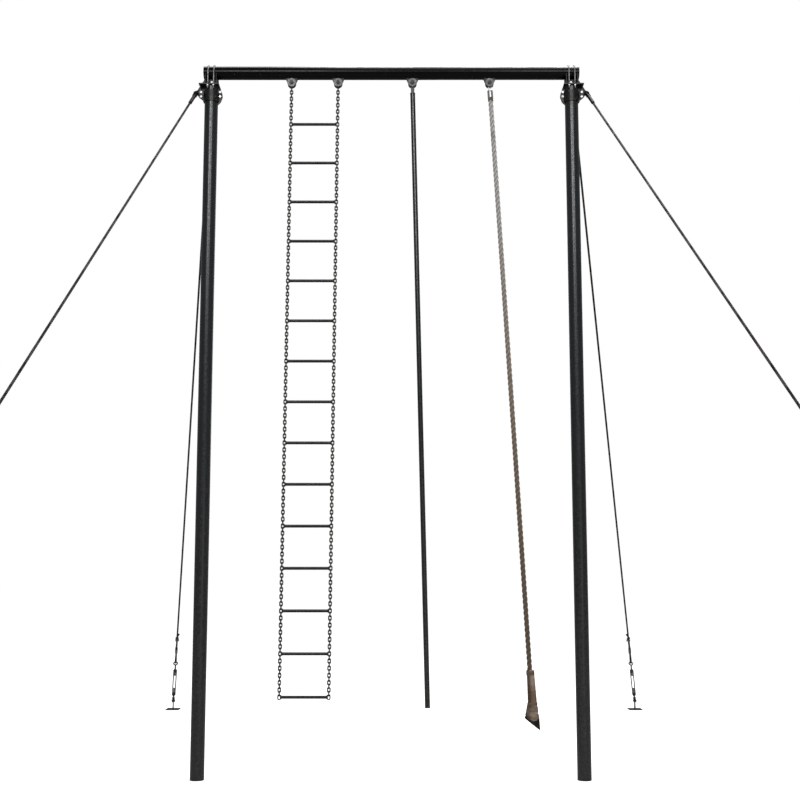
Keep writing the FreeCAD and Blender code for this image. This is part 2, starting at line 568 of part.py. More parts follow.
def make_ladder():
    inner_length = LINK_PITCH + LINK_PLAY
    first_link_top = FIRST_RUNG_Z + (LINKS_PER_BAY - 0.5) * LINK_PITCH - LINK_PITCH / 2
    bar_z = first_link_top + inner_length / 2 - LINK_PLAY - MASTER_WIRE_R
    top_z = PIN_Z + HANGER_BOLT_R + LINK_PLAY
    foot_z = bar_z + MASTER_WIRE_R
    masters = [link(V(x, 0, (top_z + foot_z) / 2), top_z - foot_z, MASTER_INNER_R, MASTER_WIRE_R, True)
               for x in CHAINS_X]
    save("ladder_master_links", masters)
    print("ladder hinge 1 at z %.2f" % bar_z)
    templates = {flat: link(V(), inner_length, LINK_INNER_R, LINK_WIRE_R, flat) for flat in (True, False)}
    for template in templates.values():
        template.rotate(V(), V(0, 1, 0), math.degrees(LADDER_LEAN))
    for rung in range(1, RUNG_COUNT + 1):
        z = FIRST_RUNG_Z - (rung - 1) * RUNG_PITCH
        links = []
        for x in CHAINS_X:
            for step in range(LINKS_PER_BAY):
                link_z = z + step * LINK_PITCH
                piece = templates[step % 2 == 0].copy()
                piece.translate(V(x - (bar_z - link_z) * math.tan(LADDER_LEAN), 0, link_z))
                links.append(piece)
        save("chain_bay_%02d" % rung, links)
        left, right = (x - (bar_z - z) * math.tan(LADDER_LEAN) for x in CHAINS_X)
        bar = cyl(RUNG_R, V(left + LINK_INNER_R + LINK_WIRE_R, 0, z), V(right - LINK_INNER_R - LINK_WIRE_R, 0, z))
        for side in (0, 1):
            bar = bar.cut(links[side * LINKS_PER_BAY])
        save("rung_%02d" % rung, [bar])
        if rung < RUNG_COUNT:
            print("ladder hinge %d at z %.2f" % (rung + 1, z - inner_length / 2 - LINK_WIRE_R))


# ---- climbing pole ------------------------------------------------------------------------
def make_pole():
    top = V(FRAME_X + POLE_X, 0, PIN_Z)
    foot = V(top.x + POLE_FOOT_DX, 0, POLE_FOOT_Z)
    along = (foot - top).normalize()
    place = frame_at(top, along, V(0, -1, 0))
    length = (foot - top).Length
    eye = cyl(EYE_PLATE_R, V(0, 0, -EYE_PLATE_T / 2), V(0, 0, EYE_PLATE_T / 2))
    neck = box((0, -15, -EYE_PLATE_T / 2), (POLE_NECK, 15, EYE_PLATE_T / 2))
    shaft = cyl(POLE_R, V(POLE_NECK, 0, 0), V(length, 0, 0))
    hollow = cyl(POLE_R - POLE_WALL, V(POLE_NECK + 6, 0, 0), V(length - 5, 0, 0))
    hole = cyl(HANGER_BOLT_R + 0.06, V(0, 0, -40), V(0, 0, 40))
    save("climbing_pole", [put(fuse(eye, neck, shaft).cut(hollow).cut(hole), place)])


# ---- climbing rope ------------------------------------------------------------------------
def make_rope():
    top = V(FRAME_X + ROPE_X, 0, PIN_Z)
    along = V(math.sin(ROPE_LEAN), 0, -math.cos(ROPE_LEAN))
    place = frame_at(top, along, V(0, -1, 0))
    half = EYE_PLATE_T / 2
    spread = ROPE_EYE_R - 1
    rim = cyl(ROPE_EYE_R, V(0, 0, -half), V(0, 0, half))
    legs = plate([(0, -spread), (ROPE_NECK, -9), (ROPE_NECK, 9), (0, spread)], EYE_PLATE_T,
                 FreeCAD.Placement())
    window = plate([(17, -10.5), (ROPE_NECK - 14, -4), (ROPE_NECK - 14, 4), (17, 10.5)], 60,
                   FreeCAD.Placement())
    ferrule_end = ROPE_NECK + FERRULE_L
    ferrule = cyl(FERRULE_R, V(ROPE_NECK - 3, 0, 0), V(ferrule_end, 0, 0))
    socket = cyl(ROPE_R, V(ROPE_NECK + 6, 0, 0), V(ferrule_end + 1, 0, 0))
    hole = cyl(HANGER_BOLT_R + 0.06, V(0, 0, -40), V(0, 0, 40))
    fitting = fuse(rim, legs, ferrule).cut(window).cut(socket).cut(hole)
    save("rope_top_fitting", [put(fitting, place)])
    rope_end = BOOT_TOP + ROPE_IN_BOOT
    rope = cyl(ROPE_R, V(ROPE_NECK + 6, 0, 0), V(rope_end, 0, 0))
    save("climbing_rope", [put(rope, place)])
    print("rope from the ferrule %s to its end %s, %.0f long" % (
        tuple(round(c, 1) for c in place.multVec(V(ferrule_end, 0, 0))),
        tuple(round(c, 1) for c in place.multVec(V(rope_end, 0, 0))), rope_end - ferrule_end))
    rings = []
    for share, radius, sideways in BOOT_RINGS:
        spot = V(BOOT_TOP + share * BOOT_LENGTH, sideways, 0)
        rings.append(Part.Wire(Part.makeCircle(radius, spot, V(1, 0, 0))))
    boot = Part.makeLoft(rings, True, False)
    tip, reach = BOOT_TOP + BOOT_LENGTH, 150.0
    cut = [(tip - BOOT_SLANT * reach, BOOT_TIP_OUT - reach), (tip + BOOT_SLANT * reach, BOOT_TIP_OUT + reach),
           (tip + 2 * reach, BOOT_TIP_OUT + reach), (tip + 2 * reach, BOOT_TIP_OUT - reach)]
    boot = boot.cut(plate(cut, 2 * reach, FreeCAD.Placement())).cut(rope)
    save("rope_end_boot", [put(boot, place)])


make_posts()
make_beam()
make_saddles()
make_collars()
make_guys()
make_hangers()
make_ladder()
make_pole()
make_rope()
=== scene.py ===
import json
import math
import bpy
import numpy as np
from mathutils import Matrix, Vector


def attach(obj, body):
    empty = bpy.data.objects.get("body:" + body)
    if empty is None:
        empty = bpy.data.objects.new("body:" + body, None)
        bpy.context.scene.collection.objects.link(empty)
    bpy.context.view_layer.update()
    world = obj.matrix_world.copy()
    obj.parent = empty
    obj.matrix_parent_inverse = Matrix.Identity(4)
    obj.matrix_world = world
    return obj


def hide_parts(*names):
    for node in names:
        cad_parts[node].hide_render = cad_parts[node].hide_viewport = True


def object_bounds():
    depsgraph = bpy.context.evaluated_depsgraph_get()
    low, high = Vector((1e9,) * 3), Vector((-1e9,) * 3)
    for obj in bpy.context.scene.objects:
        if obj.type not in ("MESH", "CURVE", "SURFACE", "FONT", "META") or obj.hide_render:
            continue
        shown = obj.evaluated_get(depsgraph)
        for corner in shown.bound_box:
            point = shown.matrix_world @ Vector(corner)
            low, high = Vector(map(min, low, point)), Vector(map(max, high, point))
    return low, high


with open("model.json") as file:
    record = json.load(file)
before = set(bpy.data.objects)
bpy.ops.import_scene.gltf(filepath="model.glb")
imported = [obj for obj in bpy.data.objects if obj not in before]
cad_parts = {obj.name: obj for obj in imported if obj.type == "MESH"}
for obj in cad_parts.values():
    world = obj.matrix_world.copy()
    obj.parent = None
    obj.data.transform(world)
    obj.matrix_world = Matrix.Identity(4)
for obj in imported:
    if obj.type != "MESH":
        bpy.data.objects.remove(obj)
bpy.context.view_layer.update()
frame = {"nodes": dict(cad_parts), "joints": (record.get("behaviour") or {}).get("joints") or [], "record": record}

TAU = 2 * math.pi
X_AXIS, Y_AXIS, Z_AXIS = np.eye(3)

# ---- sizes in metres, as in the CAD source ------------------------------------------------
FRAME_X = -0.121                      # centre of the climbing frame
POSTS_X = {"left": FRAME_X - 1.55, "right": FRAME_X + 1.55}
OUTWARD = {"left": -1, "right": 1}
TUBE_R = 0.05715
POST_TOP_Z, BEAM_Z = 5.785, 5.911
PLATE_T, PLATE_OUT, PLATE_IN, FIN_T = 0.010, 0.100, 0.070, 0.008
CRADLE_X, CRADLE_T, CRADLE_FOOT_Y = 0.047, 0.008, 0.073
UBOLT_R, UBOLT_X, UBOLT_Y, UBOLT_END, UBOLT_NUT = 0.006, 0.025, 0.06345, 0.030, 0.010
COLLAR_Z, COLLAR_R, EAR_Y = (5.648, 5.738), 0.06645, 0.009
EAR_BOLTS = {"outer": 0.088, "inner": 0.077}
EAR_BOLT_Z, EAR_BOLT_R = (5.696, 5.736), 0.006
EAR_BOLT_END = (0.0195, 0.0248)

GUY_TOP_Z = 5.715
CABLE_R, THIMBLE_R, THIMBLE_T, THIMBLE_W = 0.010, 0.020, 0.004, 0.022
CABLE_START = 0.060
LOOP_LENGTH, DEAD_END, TAIL_OFFSET, CORNER_R = 0.105, 0.290, 0.021, 0.110
ANCHOR_FROM_MIDDLE, BUCKLE_LENGTH, BUCKLE_HUB, BUCKLE_FROM_PIN = 0.290, 0.400, 0.032, 0.090
EYE_FROM_PIN, EYE_R, EYE_HOLE_R = 0.590, 0.022, 0.0155
SCREW_R, SCREW_INSIDE, JAW_END, JAW_SCREW, EYE_NECK = 0.008, 0.190, 0.052, 0.149, 0.009
ANCHOR_LUG_HALF, ANCHOR_LUG_T, ANCHOR_TOP = 0.045, 0.012, 0.010

PIN_Z = 5.820                         # hanger bolts
CHAINS_X = [FRAME_X - 0.660 + side * 0.200 for side in (-1, 1)]
HANGERS_X = CHAINS_X + [FRAME_X + 0.181, FRAME_X + 0.846]
HANGER_GAP, HANGER_PLATE_T, HANGER_TOP_W = 0.026, 0.008, 0.094
HANGER_BOLT_R, HANGER_BOLT_END = 0.008, (0.0385, 0.0448)
RUNG_R, RUNG_START, RUNG_PITCH, FIRST_RUNG_Z, RUNG_COUNT = 0.0125, 0.0160, 0.3432, 5.452, 15
LADDER_LEAN, LADDER_TOP_Z = math.radians(0.46), 5.7757  # leans to the left from its top hinge
POLE_X, POLE_R, POLE_NECK, POLE_FOOT_DX, POLE_FOOT_Z = 0.181, 0.021, 0.092, 0.115, 0.562
POLE_TAB_X, POLE_TAB_Y = 0.015, 0.012  # half sizes of the tab that the pole hangs from

ROPE_R = 0.020
ROPE_LEAN = math.radians(3.2)
FERRULE_END, ROPE_END = 0.130, 5.315  # along the rope, from its bolt
BOOT_TOP, BOOT_LENGTH = 4.965, 0.471
BOOT_SLANT, BOOT_TIP_OUT = 0.87, 0.046
# share of the boot's length, radius and sideways shift
BOOT_RINGS = ((0, 0.027, 0.002), (0.1, 0.029, 0.004), (0.57, 0.0355, 0.003),
              (0.7, 0.044, -0.004), (0.8, 0.054, -0.009), (1.0, 0.056, -0.010))

M12_PITCH, M16_PITCH = 0.00175, 0.002
THREAD_GAP = 0.001                    # a thread stops this far from the piece beside it
WELD_S, WELD_M, WELD_L, WELD_XL = 0.0034, 0.0036, 0.0038, 0.0042

rng = np.random.default_rng(7)        # drawn by laid() and bead()


def unit(vector):
    return vector / np.linalg.norm(vector, axis=-1, keepdims=True)


# ---- mesh parts ---------------------------------------------------------------------------
# A part is (vertices, faces, loop UVs, one value for each vertex). The value is the depth of
# a strand's groove, or on the boot how far the leather is darkened.
def skin(line, radii, across, turn=0.0, closed=False):
    """A tube along `line`; radii has a ring of radii for each point of the line.

    `across` is a direction that the line never follows. `turn` rotates each ring by an angle.
    """
    line = np.asarray(line, float)
    count = len(line)
    sides = radii.shape[1]
    if closed:
        tangent = np.roll(line, -1, 0) - np.roll(line, 1, 0)
    else:
        tangent = np.gradient(line, axis=0)
    tangent = unit(tangent)
    across = np.broadcast_to(np.asarray(across, float), line.shape)
    normal = unit(across - tangent * (across * tangent).sum(1, keepdims=True))
    binormal = np.cross(tangent, normal)
    angle = np.broadcast_to(turn, (count,))[:, None] + TAU * np.arange(sides) / sides
    rings = (line[:, None] + radii[..., None] * (np.cos(angle)[..., None] * normal[:, None]
                                                 + np.sin(angle)[..., None] * binormal[:, None]))
    run = run_along(line)
    deepest = max(np.ptp(radii), 1e-9)
    groove = ((radii.max() - radii) / deepest) ** 1.3 if deepest > 1e-5 else np.zeros_like(radii)
    spans = count if closed else count - 1
    i = np.arange(spans)[:, None] + np.zeros((1, sides), int)
    j = np.zeros((spans, 1), int) + np.arange(sides)[None]
    i_next, j_next = (i + 1) % count, (j + 1) % sides
    faces = np.stack([i * sides + j, i * sides + j_next, i_next * sides + j_next, i_next * sides + j], -1)
    u = angle[:spans] / TAU
    u_far = angle[1:][:spans] / TAU if not closed else u
    step = 1 / sides
    v_near = run[:spans, None] + 0 * u
    v_far = (run[1:] if not closed else np.append(run[1:], run[-1] * 2 - run[-2]))[:spans, None] + 0 * u
    uv = np.stack([np.stack([u, v_near], -1), np.stack([u + step, v_near], -1),
                   np.stack([u_far + step, v_far], -1), np.stack([u_far, v_far], -1)], 2)
    faces = faces.reshape(-1, 4).tolist()
    uv = uv.reshape(-1, 2)
    if not closed:
        faces.append(list(range(sides))[::-1])
        faces.append(list(range((count - 1) * sides, count * sides)))
        uv = np.concatenate([uv, np.zeros((2 * sides, 2))])
    return rings.reshape(-1, 3), faces, uv, groove.reshape(-1)


def piece(name, parts, body, material, stands_for=(), sharp=50):
    """One object made of parts, riding on a body."""
    vertices, faces, first = [], [], 0
    for part in parts:
        vertices.append(part[0])
        faces += [[corner + first for corner in face] for face in part[1]]
        first += len(part[0])
    mesh = bpy.data.meshes.new(name)
    mesh.from_pydata(np.concatenate(vertices), [], faces)
    mesh.uv_layers.new(name="run").data.foreach_set(
        "uv", np.concatenate([part[2] for part in parts]).astype(np.float32).ravel())
    groove = mesh.attributes.new("groove", "FLOAT", "POINT")
    groove.data.foreach_set("value", np.concatenate([part[3] for part in parts]).astype(np.float32))
    mesh.shade_smooth()
    mesh.set_sharp_from_angle(angle=math.radians(sharp))
    mesh.materials.append(material)
    made = bpy.data.objects.new(name, mesh)
    bpy.context.scene.collection.objects.link(made)
    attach(made, body)
    if stands_for:
        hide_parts(*stands_for)
    return made


def run_along(line):
    """Distance of each point of a line from its start."""
    return np.concatenate([[0], np.linalg.norm(np.diff(line, axis=0), axis=1).cumsum()])


def even(points, step, closed=False):
    """The same line with evenly spaced points."""
    points = np.asarray(points, float)
    if closed:
        points = np.concatenate([points, points[:1]])
    run = run_along(points)
    count = max(int(round(run[-1] / step)), 2) + 1
    at = np.linspace(0, run[-1], count)
    if closed:
        at = at[:-1]
    return np.stack([np.interp(at, run, points[:, k]) for k in range(3)], 1)


def lobes(count, reach, radius, angle):
    """Outline of `count` round strands whose centres lie `reach` from the middle."""
    spread = TAU / count
    off = (angle + spread / 2) % spread - spread / 2
    return reach * np.cos(off) + np.sqrt(radius ** 2 - (reach * np.sin(off)) ** 2)


def laid(line, across, radius, strands, reach, pitch, sides):
    """A laid rope or wire rope along an evenly spaced line."""
    angle = TAU * np.arange(sides) / sides
    ring = radius * lobes(strands, reach, 1 - reach, angle)
    span = 12                         # points between two draws of the unevenness
    drawn = 1 + 0.012 * rng.standard_normal((len(line) // span + 2, 1))
    unevenness = np.interp(np.arange(len(line)) / span, np.arange(len(drawn)), drawn[:, 0])
    radii = ring[None] * np.minimum(unevenness, 1.0)[:, None]
    return skin(line, radii, across, turn=TAU * run_along(line) / pitch)


def bead(points, radius, closed=False):
    """A weld bead: a rippled half-sunk roll along a line, which tapers at its open ends."""
    ripple = 0.0035
    line = even(points, ripple / 3, closed)
    wave = np.abs(np.sin(math.pi * np.arange(len(line)) / 3 + 0.4))
    size = radius * (0.86 + 0.2 * wave + 0.05 * rng.standard_normal(len(line)))
    if not closed:
        ends = np.minimum(np.arange(len(line)), np.arange(len(line))[::-1])
        size *= np.clip(0.35 + ends / 3, 0, 1)
    gap = unit(np.ptp(line, axis=0) + 1e-9)
    across = unit(np.array([0.31, 0.22, 0.92]) if gap[2] < 0.8 else np.array([0.8, 0.5, 0.1]))
    return skin(line, np.repeat(size[:, None], 7, 1), across, closed=closed)


def ring_line(centre, radius, u_axis, v_axis):
    """A circle of 48 points in the plane of two axes."""
    angle = np.linspace(0, TAU, 49)[:-1, None]
    return np.asarray(centre) + radius * (np.cos(angle) * u_axis + np.sin(angle) * v_axis)


def thread(start, end, radius, pitch):
    """A screw thread's ridge along a round bar."""
    start, end = np.asarray(start, float), np.asarray(end, float)
    length = np.linalg.norm(end - start)
    axis = (end - start) / length
    side = unit(np.cross(axis, X_AXIS if abs(axis[0]) < 0.9 else Y_AXIS))
    other = np.cross(axis, side)
    turns = length / pitch
    t = np.linspace(0, 1, int(turns * 14) + 1)[:, None]
    angle = TAU * turns * t
    line = start + axis * length * t + (radius + 0.00005) * (np.cos(angle) * side + np.sin(angle) * other)
    out = unit(line - (start + axis * length * t))
    ridge = pitch * np.array([0.40, 0.18, 0.40, 0.18])
    return skin(line, np.broadcast_to(ridge, (len(line), 4)), out)


def wrapped(centre, axis, radius, cord_r, turns):
    """Turns of twine round a bar, with its ends tucked in."""
    centre, axis = np.asarray(centre, float), unit(np.asarray(axis, float))
    pitch = cord_r * 1.9
    side = unit(np.cross(axis, Y_AXIS + 0.01 * X_AXIS))
    other = np.cross(axis, side)
    t = np.linspace(0, 1, int(turns * 28) + 1)[:, None]
    angle = TAU * turns * t
    sink = 1 - np.minimum(1, np.minimum(t, 1 - t) * turns * 6)
    reach = radius + cord_r * (0.8 - 1.6 * sink)
    line = (centre + axis * pitch * turns * (t - 0.5)
            + reach * (np.cos(angle) * side + np.sin(angle) * other))
    return skin(line, np.full((len(line), 7), cord_r), axis)


# ---- materials ----------------------------------------------------------------------------
def linear(*colour):
    """Scene-linear RGBA from three values of 0 to 255."""
    shares = (value / 255 for value in colour)
    return tuple(c / 12.92 if c <= 10 / 255 else ((c + 0.055) / 1.055) ** 2.4 for c in shares) + (1,)


class Shader:
    """A material under construction."""

    def __init__(self, name, roughness=0.5, metallic=0.0, level=0.5):
        self.material = bpy.data.materials.new(name)
        self.material.use_nodes = True
        self.tree = self.material.node_tree
        self.bsdf = self.tree.nodes["Principled BSDF"]
        self.bsdf.inputs["Roughness"].default_value = roughness
        self.bsdf.inputs["Metallic"].default_value = metallic
        self.bsdf.inputs["Specular IOR Level"].default_value = level
        self.coords = self.node("ShaderNodeTexCoord").outputs["Object"]

    def node(self, kind, **settings):
        made = self.tree.nodes.new(kind)
        for key, value in settings.items():
            setattr(made, key, value)
        return made

    def feed(self, socket, value):
        if isinstance(value, bpy.types.NodeSocket):
            self.tree.links.new(value, socket)
        else:
            socket.default_value = value

    def stretched(self, scale):
        mapping = self.node("ShaderNodeMapping")
        self.feed(mapping.inputs["Vector"], self.coords)
        mapping.inputs["Scale"].default_value = scale
        return mapping.outputs["Vector"]

    def noise(self, scale, detail=4.0, stretch=None, vector=None, rough=0.55):
        made = self.node("ShaderNodeTexNoise")
        self.feed(made.inputs["Vector"], vector or (self.stretched(stretch) if stretch else self.coords))
        made.inputs["Scale"].default_value = scale
        made.inputs["Detail"].default_value = detail
        made.inputs["Roughness"].default_value = rough
        return made.outputs["Fac"]

    def remap(self, value, low, high, to_low=0.0, to_high=1.0, soft=True):
        made = self.node("ShaderNodeMapRange", interpolation_type="SMOOTHSTEP" if soft else "LINEAR")
        self.feed(made.inputs["Value"], value)
        for key, number in (("From Min", low), ("From Max", high), ("To Min", to_low), ("To Max", to_high)):
            made.inputs[key].default_value = number
        return made.outputs["Result"]

    def math(self, operation, first, second=0.0):
        made = self.node("ShaderNodeMath", operation=operation)
        self.feed(made.inputs[0], first)
        self.feed(made.inputs[1], second)
        return made.outputs["Value"]

    def mix(self, share, first, second):
        made = self.node("ShaderNodeMix", data_type="RGBA")
        self.feed(made.inputs["Factor"], share)
        self.feed(made.inputs["A"], first)
        self.feed(made.inputs["B"], second)
        return [out for out in made.outputs if out.type == "RGBA"][0]

    def axis(self, letter):
        split = self.node("ShaderNodeSeparateXYZ")
        self.feed(split.inputs["Vector"], self.coords)
        return split.outputs[letter]

    def attribute(self, name):
        return self.node("ShaderNodeAttribute", attribute_name=name).outputs["Fac"]

    def around(self):
        """Angle round a tube in turns, and distance along it."""
        split = self.node("ShaderNodeSeparateXYZ")
        self.feed(split.inputs["Vector"], self.node("ShaderNodeUVMap", uv_map="run").outputs["UV"])
        return split.outputs["X"], split.outputs["Y"]

    def bump(self, height, distance, strength=1.0, under=None):
        made = self.node("ShaderNodeBump")
        made.inputs["Strength"].default_value = strength
        made.inputs["Distance"].default_value = distance
        self.feed(made.inputs["Height"], height)
        if under:
            self.feed(made.inputs["Normal"], under)
        return made.outputs["Normal"]

    def finish(self, colour, roughness=None, normal=None, metallic=None):
        self.feed(self.bsdf.inputs["Base Color"], colour)
        if roughness is not None:
            self.feed(self.bsdf.inputs["Roughness"], roughness)
        if metallic is not None:
            self.feed(self.bsdf.inputs["Metallic"], metallic)
        if normal is not None:
            self.feed(self.bsdf.inputs["Normal"], normal)
        return self.material


def enamel(name, tint, gloss, dust=0.5, chips=0.70, level=0.5, dust_top=3.6, scratches=0.4,
           painted_highlight_above=None):
    """Dark paint: orange peel, vertical scratches, small chips and dust that thickens towards the
    ground. Above the height `painted_highlight_above` lies a painted highlight, a pale strip stronger to the
    right.
    """
    s = Shader(name, roughness=gloss, level=level)
    broad, fine = s.noise(1.7, 3), s.noise(38, 5)
    drawn = s.noise(9, 5, stretch=(14, 14, 0.7))
    low = s.remap(s.axis("Z"), 0.0, dust_top, 1.0, 0.0)
    dusty = s.math("MULTIPLY", s.math("MULTIPLY", low, s.remap(fine, 0.30, 0.75)), dust)
    colour = s.mix(s.remap(broad, 0.35, 0.65), tint, tuple(0.72 * c for c in tint[:3]) + (1,))
    colour = s.mix(dusty, colour, linear(84, 79, 62))
    scratch = s.math("MULTIPLY", s.remap(drawn, 0.66, 0.72), scratches)
    colour = s.mix(scratch, colour, linear(92, 94, 92))
    # painted highlight: `film` is a pale strip painted on above the given height, patchy and stronger to the right
    if painted_highlight_above:
        film = s.math("MULTIPLY", s.remap(s.axis("Z"), painted_highlight_above, painted_highlight_above + 0.006),
                      s.math("MULTIPLY", s.remap(s.noise(2.2, 3), 0.38, 0.50, 0.55, 1.0),
                             s.remap(s.axis("X"), -1.3, -0.5, 0.35, 0.95)))
        colour = s.mix(film, colour, linear(232, 233, 235))
    chip = s.remap(s.noise(74, 3), chips, chips + 0.02)
    colour = s.mix(chip, colour, linear(104, 78, 58))
    rough = s.math("ADD", s.math("ADD", s.math("MULTIPLY", dusty, 0.5), s.math("MULTIPLY", scratch, 0.3)),
                   s.remap(fine, 0.3, 0.7, gloss * 0.85, gloss * 1.25))
    peel = s.bump(s.noise(300, 2), 0.000008, 0.5)
    return s.finish(colour, rough, s.bump(s.math("SUBTRACT", 1.0, chip), 0.0002, 0.6, under=peel))


def galvanised(name, bright=1.0):
    """Zinc: crystals of slightly different greys, white bloom and a little dirt."""
    s = Shader(name, metallic=0.9, roughness=0.42)
    crystals = s.node("ShaderNodeTexVoronoi", feature="F1")
    s.feed(crystals.inputs["Vector"], s.coords)
    crystals.inputs["Scale"].default_value = 210
    tone = s.node("ShaderNodeRGBToBW")
    s.feed(tone.inputs["Color"], crystals.outputs["Color"])
    grey = tone.outputs["Val"]
    light = tuple(c * bright for c in linear(190, 192, 192)[:3]) + (1,)
    dark = tuple(c * bright for c in linear(140, 143, 145)[:3]) + (1,)
    colour = s.mix(grey, dark, light)
    bloom = s.remap(s.noise(60, 5), 0.52, 0.72)
    colour = s.mix(s.math("MULTIPLY", bloom, 0.5), colour, linear(205, 205, 200))
    dirt = s.remap(s.noise(23, 5), 0.55, 0.75)
    colour = s.mix(s.math("MULTIPLY", dirt, 0.55), colour, linear(88, 80, 70))
    rough = s.math("ADD", s.math("MULTIPLY", bloom, 0.25), s.remap(grey, 0, 1, 0.30, 0.48))
    metal = s.math("SUBTRACT", 0.92, s.math("MULTIPLY", bloom, 0.5))
    return s.finish(colour, rough, s.bump(s.noise(300, 3), 0.0001, 0.5), metal)


def oiled_steel(name, tint, rust=0.5, gloss=0.42):
    """Bare dark steel: forging scale, an oil film and rust in patches."""
    s = Shader(name, roughness=gloss, metallic=0.75)
    scale = s.noise(95, 5)
    patches = s.math("MULTIPLY", s.remap(s.noise(31, 6), 0.52, 0.70), rust)
    colour = s.mix(s.remap(scale, 0.35, 0.65), tint, tuple(1.8 * c for c in tint[:3]) + (1,))
    colour = s.mix(patches, colour, linear(98, 62, 40))
    rough = s.math("ADD", s.math("MULTIPLY", patches, 0.35),
                   s.remap(scale, 0.3, 0.7, gloss - 0.08, gloss + 0.1))
    metal = s.math("SUBTRACT", 0.75, s.math("MULTIPLY", patches, 0.7))
    return s.finish(colour, rough, s.bump(scale, 0.00025, 0.6), metal)


def wire_rope_steel():
    """Greased strands: each wire of a strand shows as a fine ridge; painted shade darkens the grooves."""
    s = Shader("wire_rope_steel", roughness=0.45, metallic=0.7)
    around, _ = s.around()
    wires = s.math("SINE", s.math("MULTIPLY", around, TAU * 34))
    groove = s.attribute("groove")
    # painted shade in the grooves between strands, and random tone on the crests: `bright` falls with the groove's
    # depth and with the noise
    bright = s.math("MULTIPLY", s.math("SUBTRACT", 1.0, groove), s.remap(s.noise(16, 4), 0.35, 0.65))
    colour = s.mix(bright, linear(24, 25, 24), linear(92, 93, 90))
    rust = s.math("MULTIPLY", s.remap(s.noise(7, 6), 0.55, 0.72), 0.55)
    colour = s.mix(rust, colour, linear(92, 62, 42))
    rough = s.remap(s.noise(50, 3), 0.3, 0.7, 0.36, 0.6)
    return s.finish(colour, rough, s.bump(wires, 0.00035, 0.8))


def rope_fibre():
    """Laid hemp: grey and bleached above, brown and greasy below, with painted shade in the grooves."""
    s = Shader("rope_fibre", roughness=0.92, level=0.2)
    s.bsdf.inputs["Sheen Weight"].default_value = 0.25
    s.bsdf.inputs["Sheen Roughness"].default_value = 0.6
    around, along = s.around()
    height = s.axis("Z")
    ramp = s.node("ShaderNodeValToRGB")
    stops = ((0.0, (98, 78, 60)), (0.22, (116, 95, 76)), (0.42, (138, 121, 104)), (0.60, (164, 152, 142)),
             (0.80, (194, 189, 186)), (1.0, (200, 196, 195)))
    ramp.color_ramp.elements[0].color = linear(*stops[0][1])
    ramp.color_ramp.elements[1].color = linear(*stops[-1][1])
    for place, colour in stops[1:-1]:
        ramp.color_ramp.elements.new(place).color = linear(*colour)
    wobble = s.math("MULTIPLY", s.math("SUBTRACT", s.noise(3.1, 4), 0.5), 0.22)
    s.feed(ramp.inputs["Fac"], s.math("ADD", s.remap(height, 0.8, 5.7, soft=False), wobble))
    stretch = s.node("ShaderNodeCombineXYZ")
    s.feed(stretch.inputs["X"], s.math("MULTIPLY", around, 46))
    s.feed(stretch.inputs["Y"], s.math("MULTIPLY", along, 26))
    fibres = s.noise(1.0, 6, vector=stretch.outputs["Vector"], rough=0.7)
    groove = s.attribute("groove")
    colour = s.mix(s.remap(fibres, 0.30, 0.72, 0, 0.45), ramp.outputs["Color"], linear(92, 80, 66))
    colour = s.mix(s.math("MULTIPLY", s.remap(fibres, 0.58, 0.8), 0.5), colour, linear(205, 196, 184))
    # painted shade: darker where a strand's groove is deeper
    colour = s.mix(s.math("MULTIPLY", groove, 0.6), colour, linear(58, 48, 40))
    stains = s.math("MULTIPLY", s.remap(s.noise(2.3, 5, stretch=(1, 1, 2.5)), 0.56, 0.66), 0.4)
    colour = s.mix(stains, colour, linear(96, 78, 60))
    yarns = s.math("ABSOLUTE", s.math("SINE", s.math("MULTIPLY", around, TAU * 21)))
    coarse = s.bump(yarns, 0.0009, 0.7)
    return s.finish(colour, 0.92, s.bump(fibres, 0.0008, 0.8, under=coarse))


def twine(name, tint):
    """Waxed binding twine."""
    s = Shader(name, roughness=0.7, level=0.35)
    around, along = s.around()
    lay = s.math("ADD", s.math("MULTIPLY", along, 1900), s.math("MULTIPLY", around, TAU * 2))
    lay = s.math("SINE", lay)
    colour = s.mix(s.remap(s.noise(120, 4), 0.35, 0.7), tint, tuple(0.45 * c for c in tint[:3]) + (1,))
    return s.finish(colour, 0.7, s.bump(lay, 0.0004, 0.7))


def leather(name, tint, dark, wear):
    """Old leather: fine grain, creases, a darker side that faces left and rubbed pale patches."""
    s = Shader(name, roughness=0.62, level=0.35)
    grain = s.node("ShaderNodeTexVoronoi", feature="F1")
    s.feed(grain.inputs["Vector"], s.coords)
    grain.inputs["Scale"].default_value = 620
    creases = s.noise(26, 7, stretch=(1, 1, 2.6), rough=0.7)
    blotch = s.noise(11, 5)
    colour = s.mix(s.remap(blotch, 0.36, 0.64), tint, dark)
    colour = s.mix(s.math("MULTIPLY", s.remap(creases, 0.56, 0.68), wear), colour, linear(158, 140, 124))
    colour = s.mix(s.math("MULTIPLY", s.remap(s.noise(40, 6), 0.60, 0.72), 0.7), colour, linear(38, 26, 18))
    left = s.remap(s.attribute("groove"), 0.15, 0.80)     # how far boot_sleeve() and boot_band() darken the side that faces left
    colour = s.mix(s.math("MULTIPLY", left, 0.8), colour, linear(52, 30, 17))
    rough = s.remap(creases, 0.35, 0.65, 0.5, 0.78)
    pores = s.bump(grain.outputs["Distance"], 0.0005, 0.5)
    return s.finish(colour, rough, s.bump(creases, 0.0035, 0.7, under=pores))


def rubber(name, tint, dusty=0.4):
    """Black moulded rubber or plastic with a dull bloom."""
    s = Shader(name, roughness=0.6, level=0.3)
    bloom = s.math("MULTIPLY", s.remap(s.noise(33, 5), 0.5, 0.75), dusty)
    colour = s.mix(bloom, tint, linear(88, 84, 78))
    rough = s.remap(s.noise(80, 3), 0.3, 0.7, 0.5, 0.75)
    return s.finish(colour, rough, s.bump(s.noise(260, 3), 0.0003, 0.6))


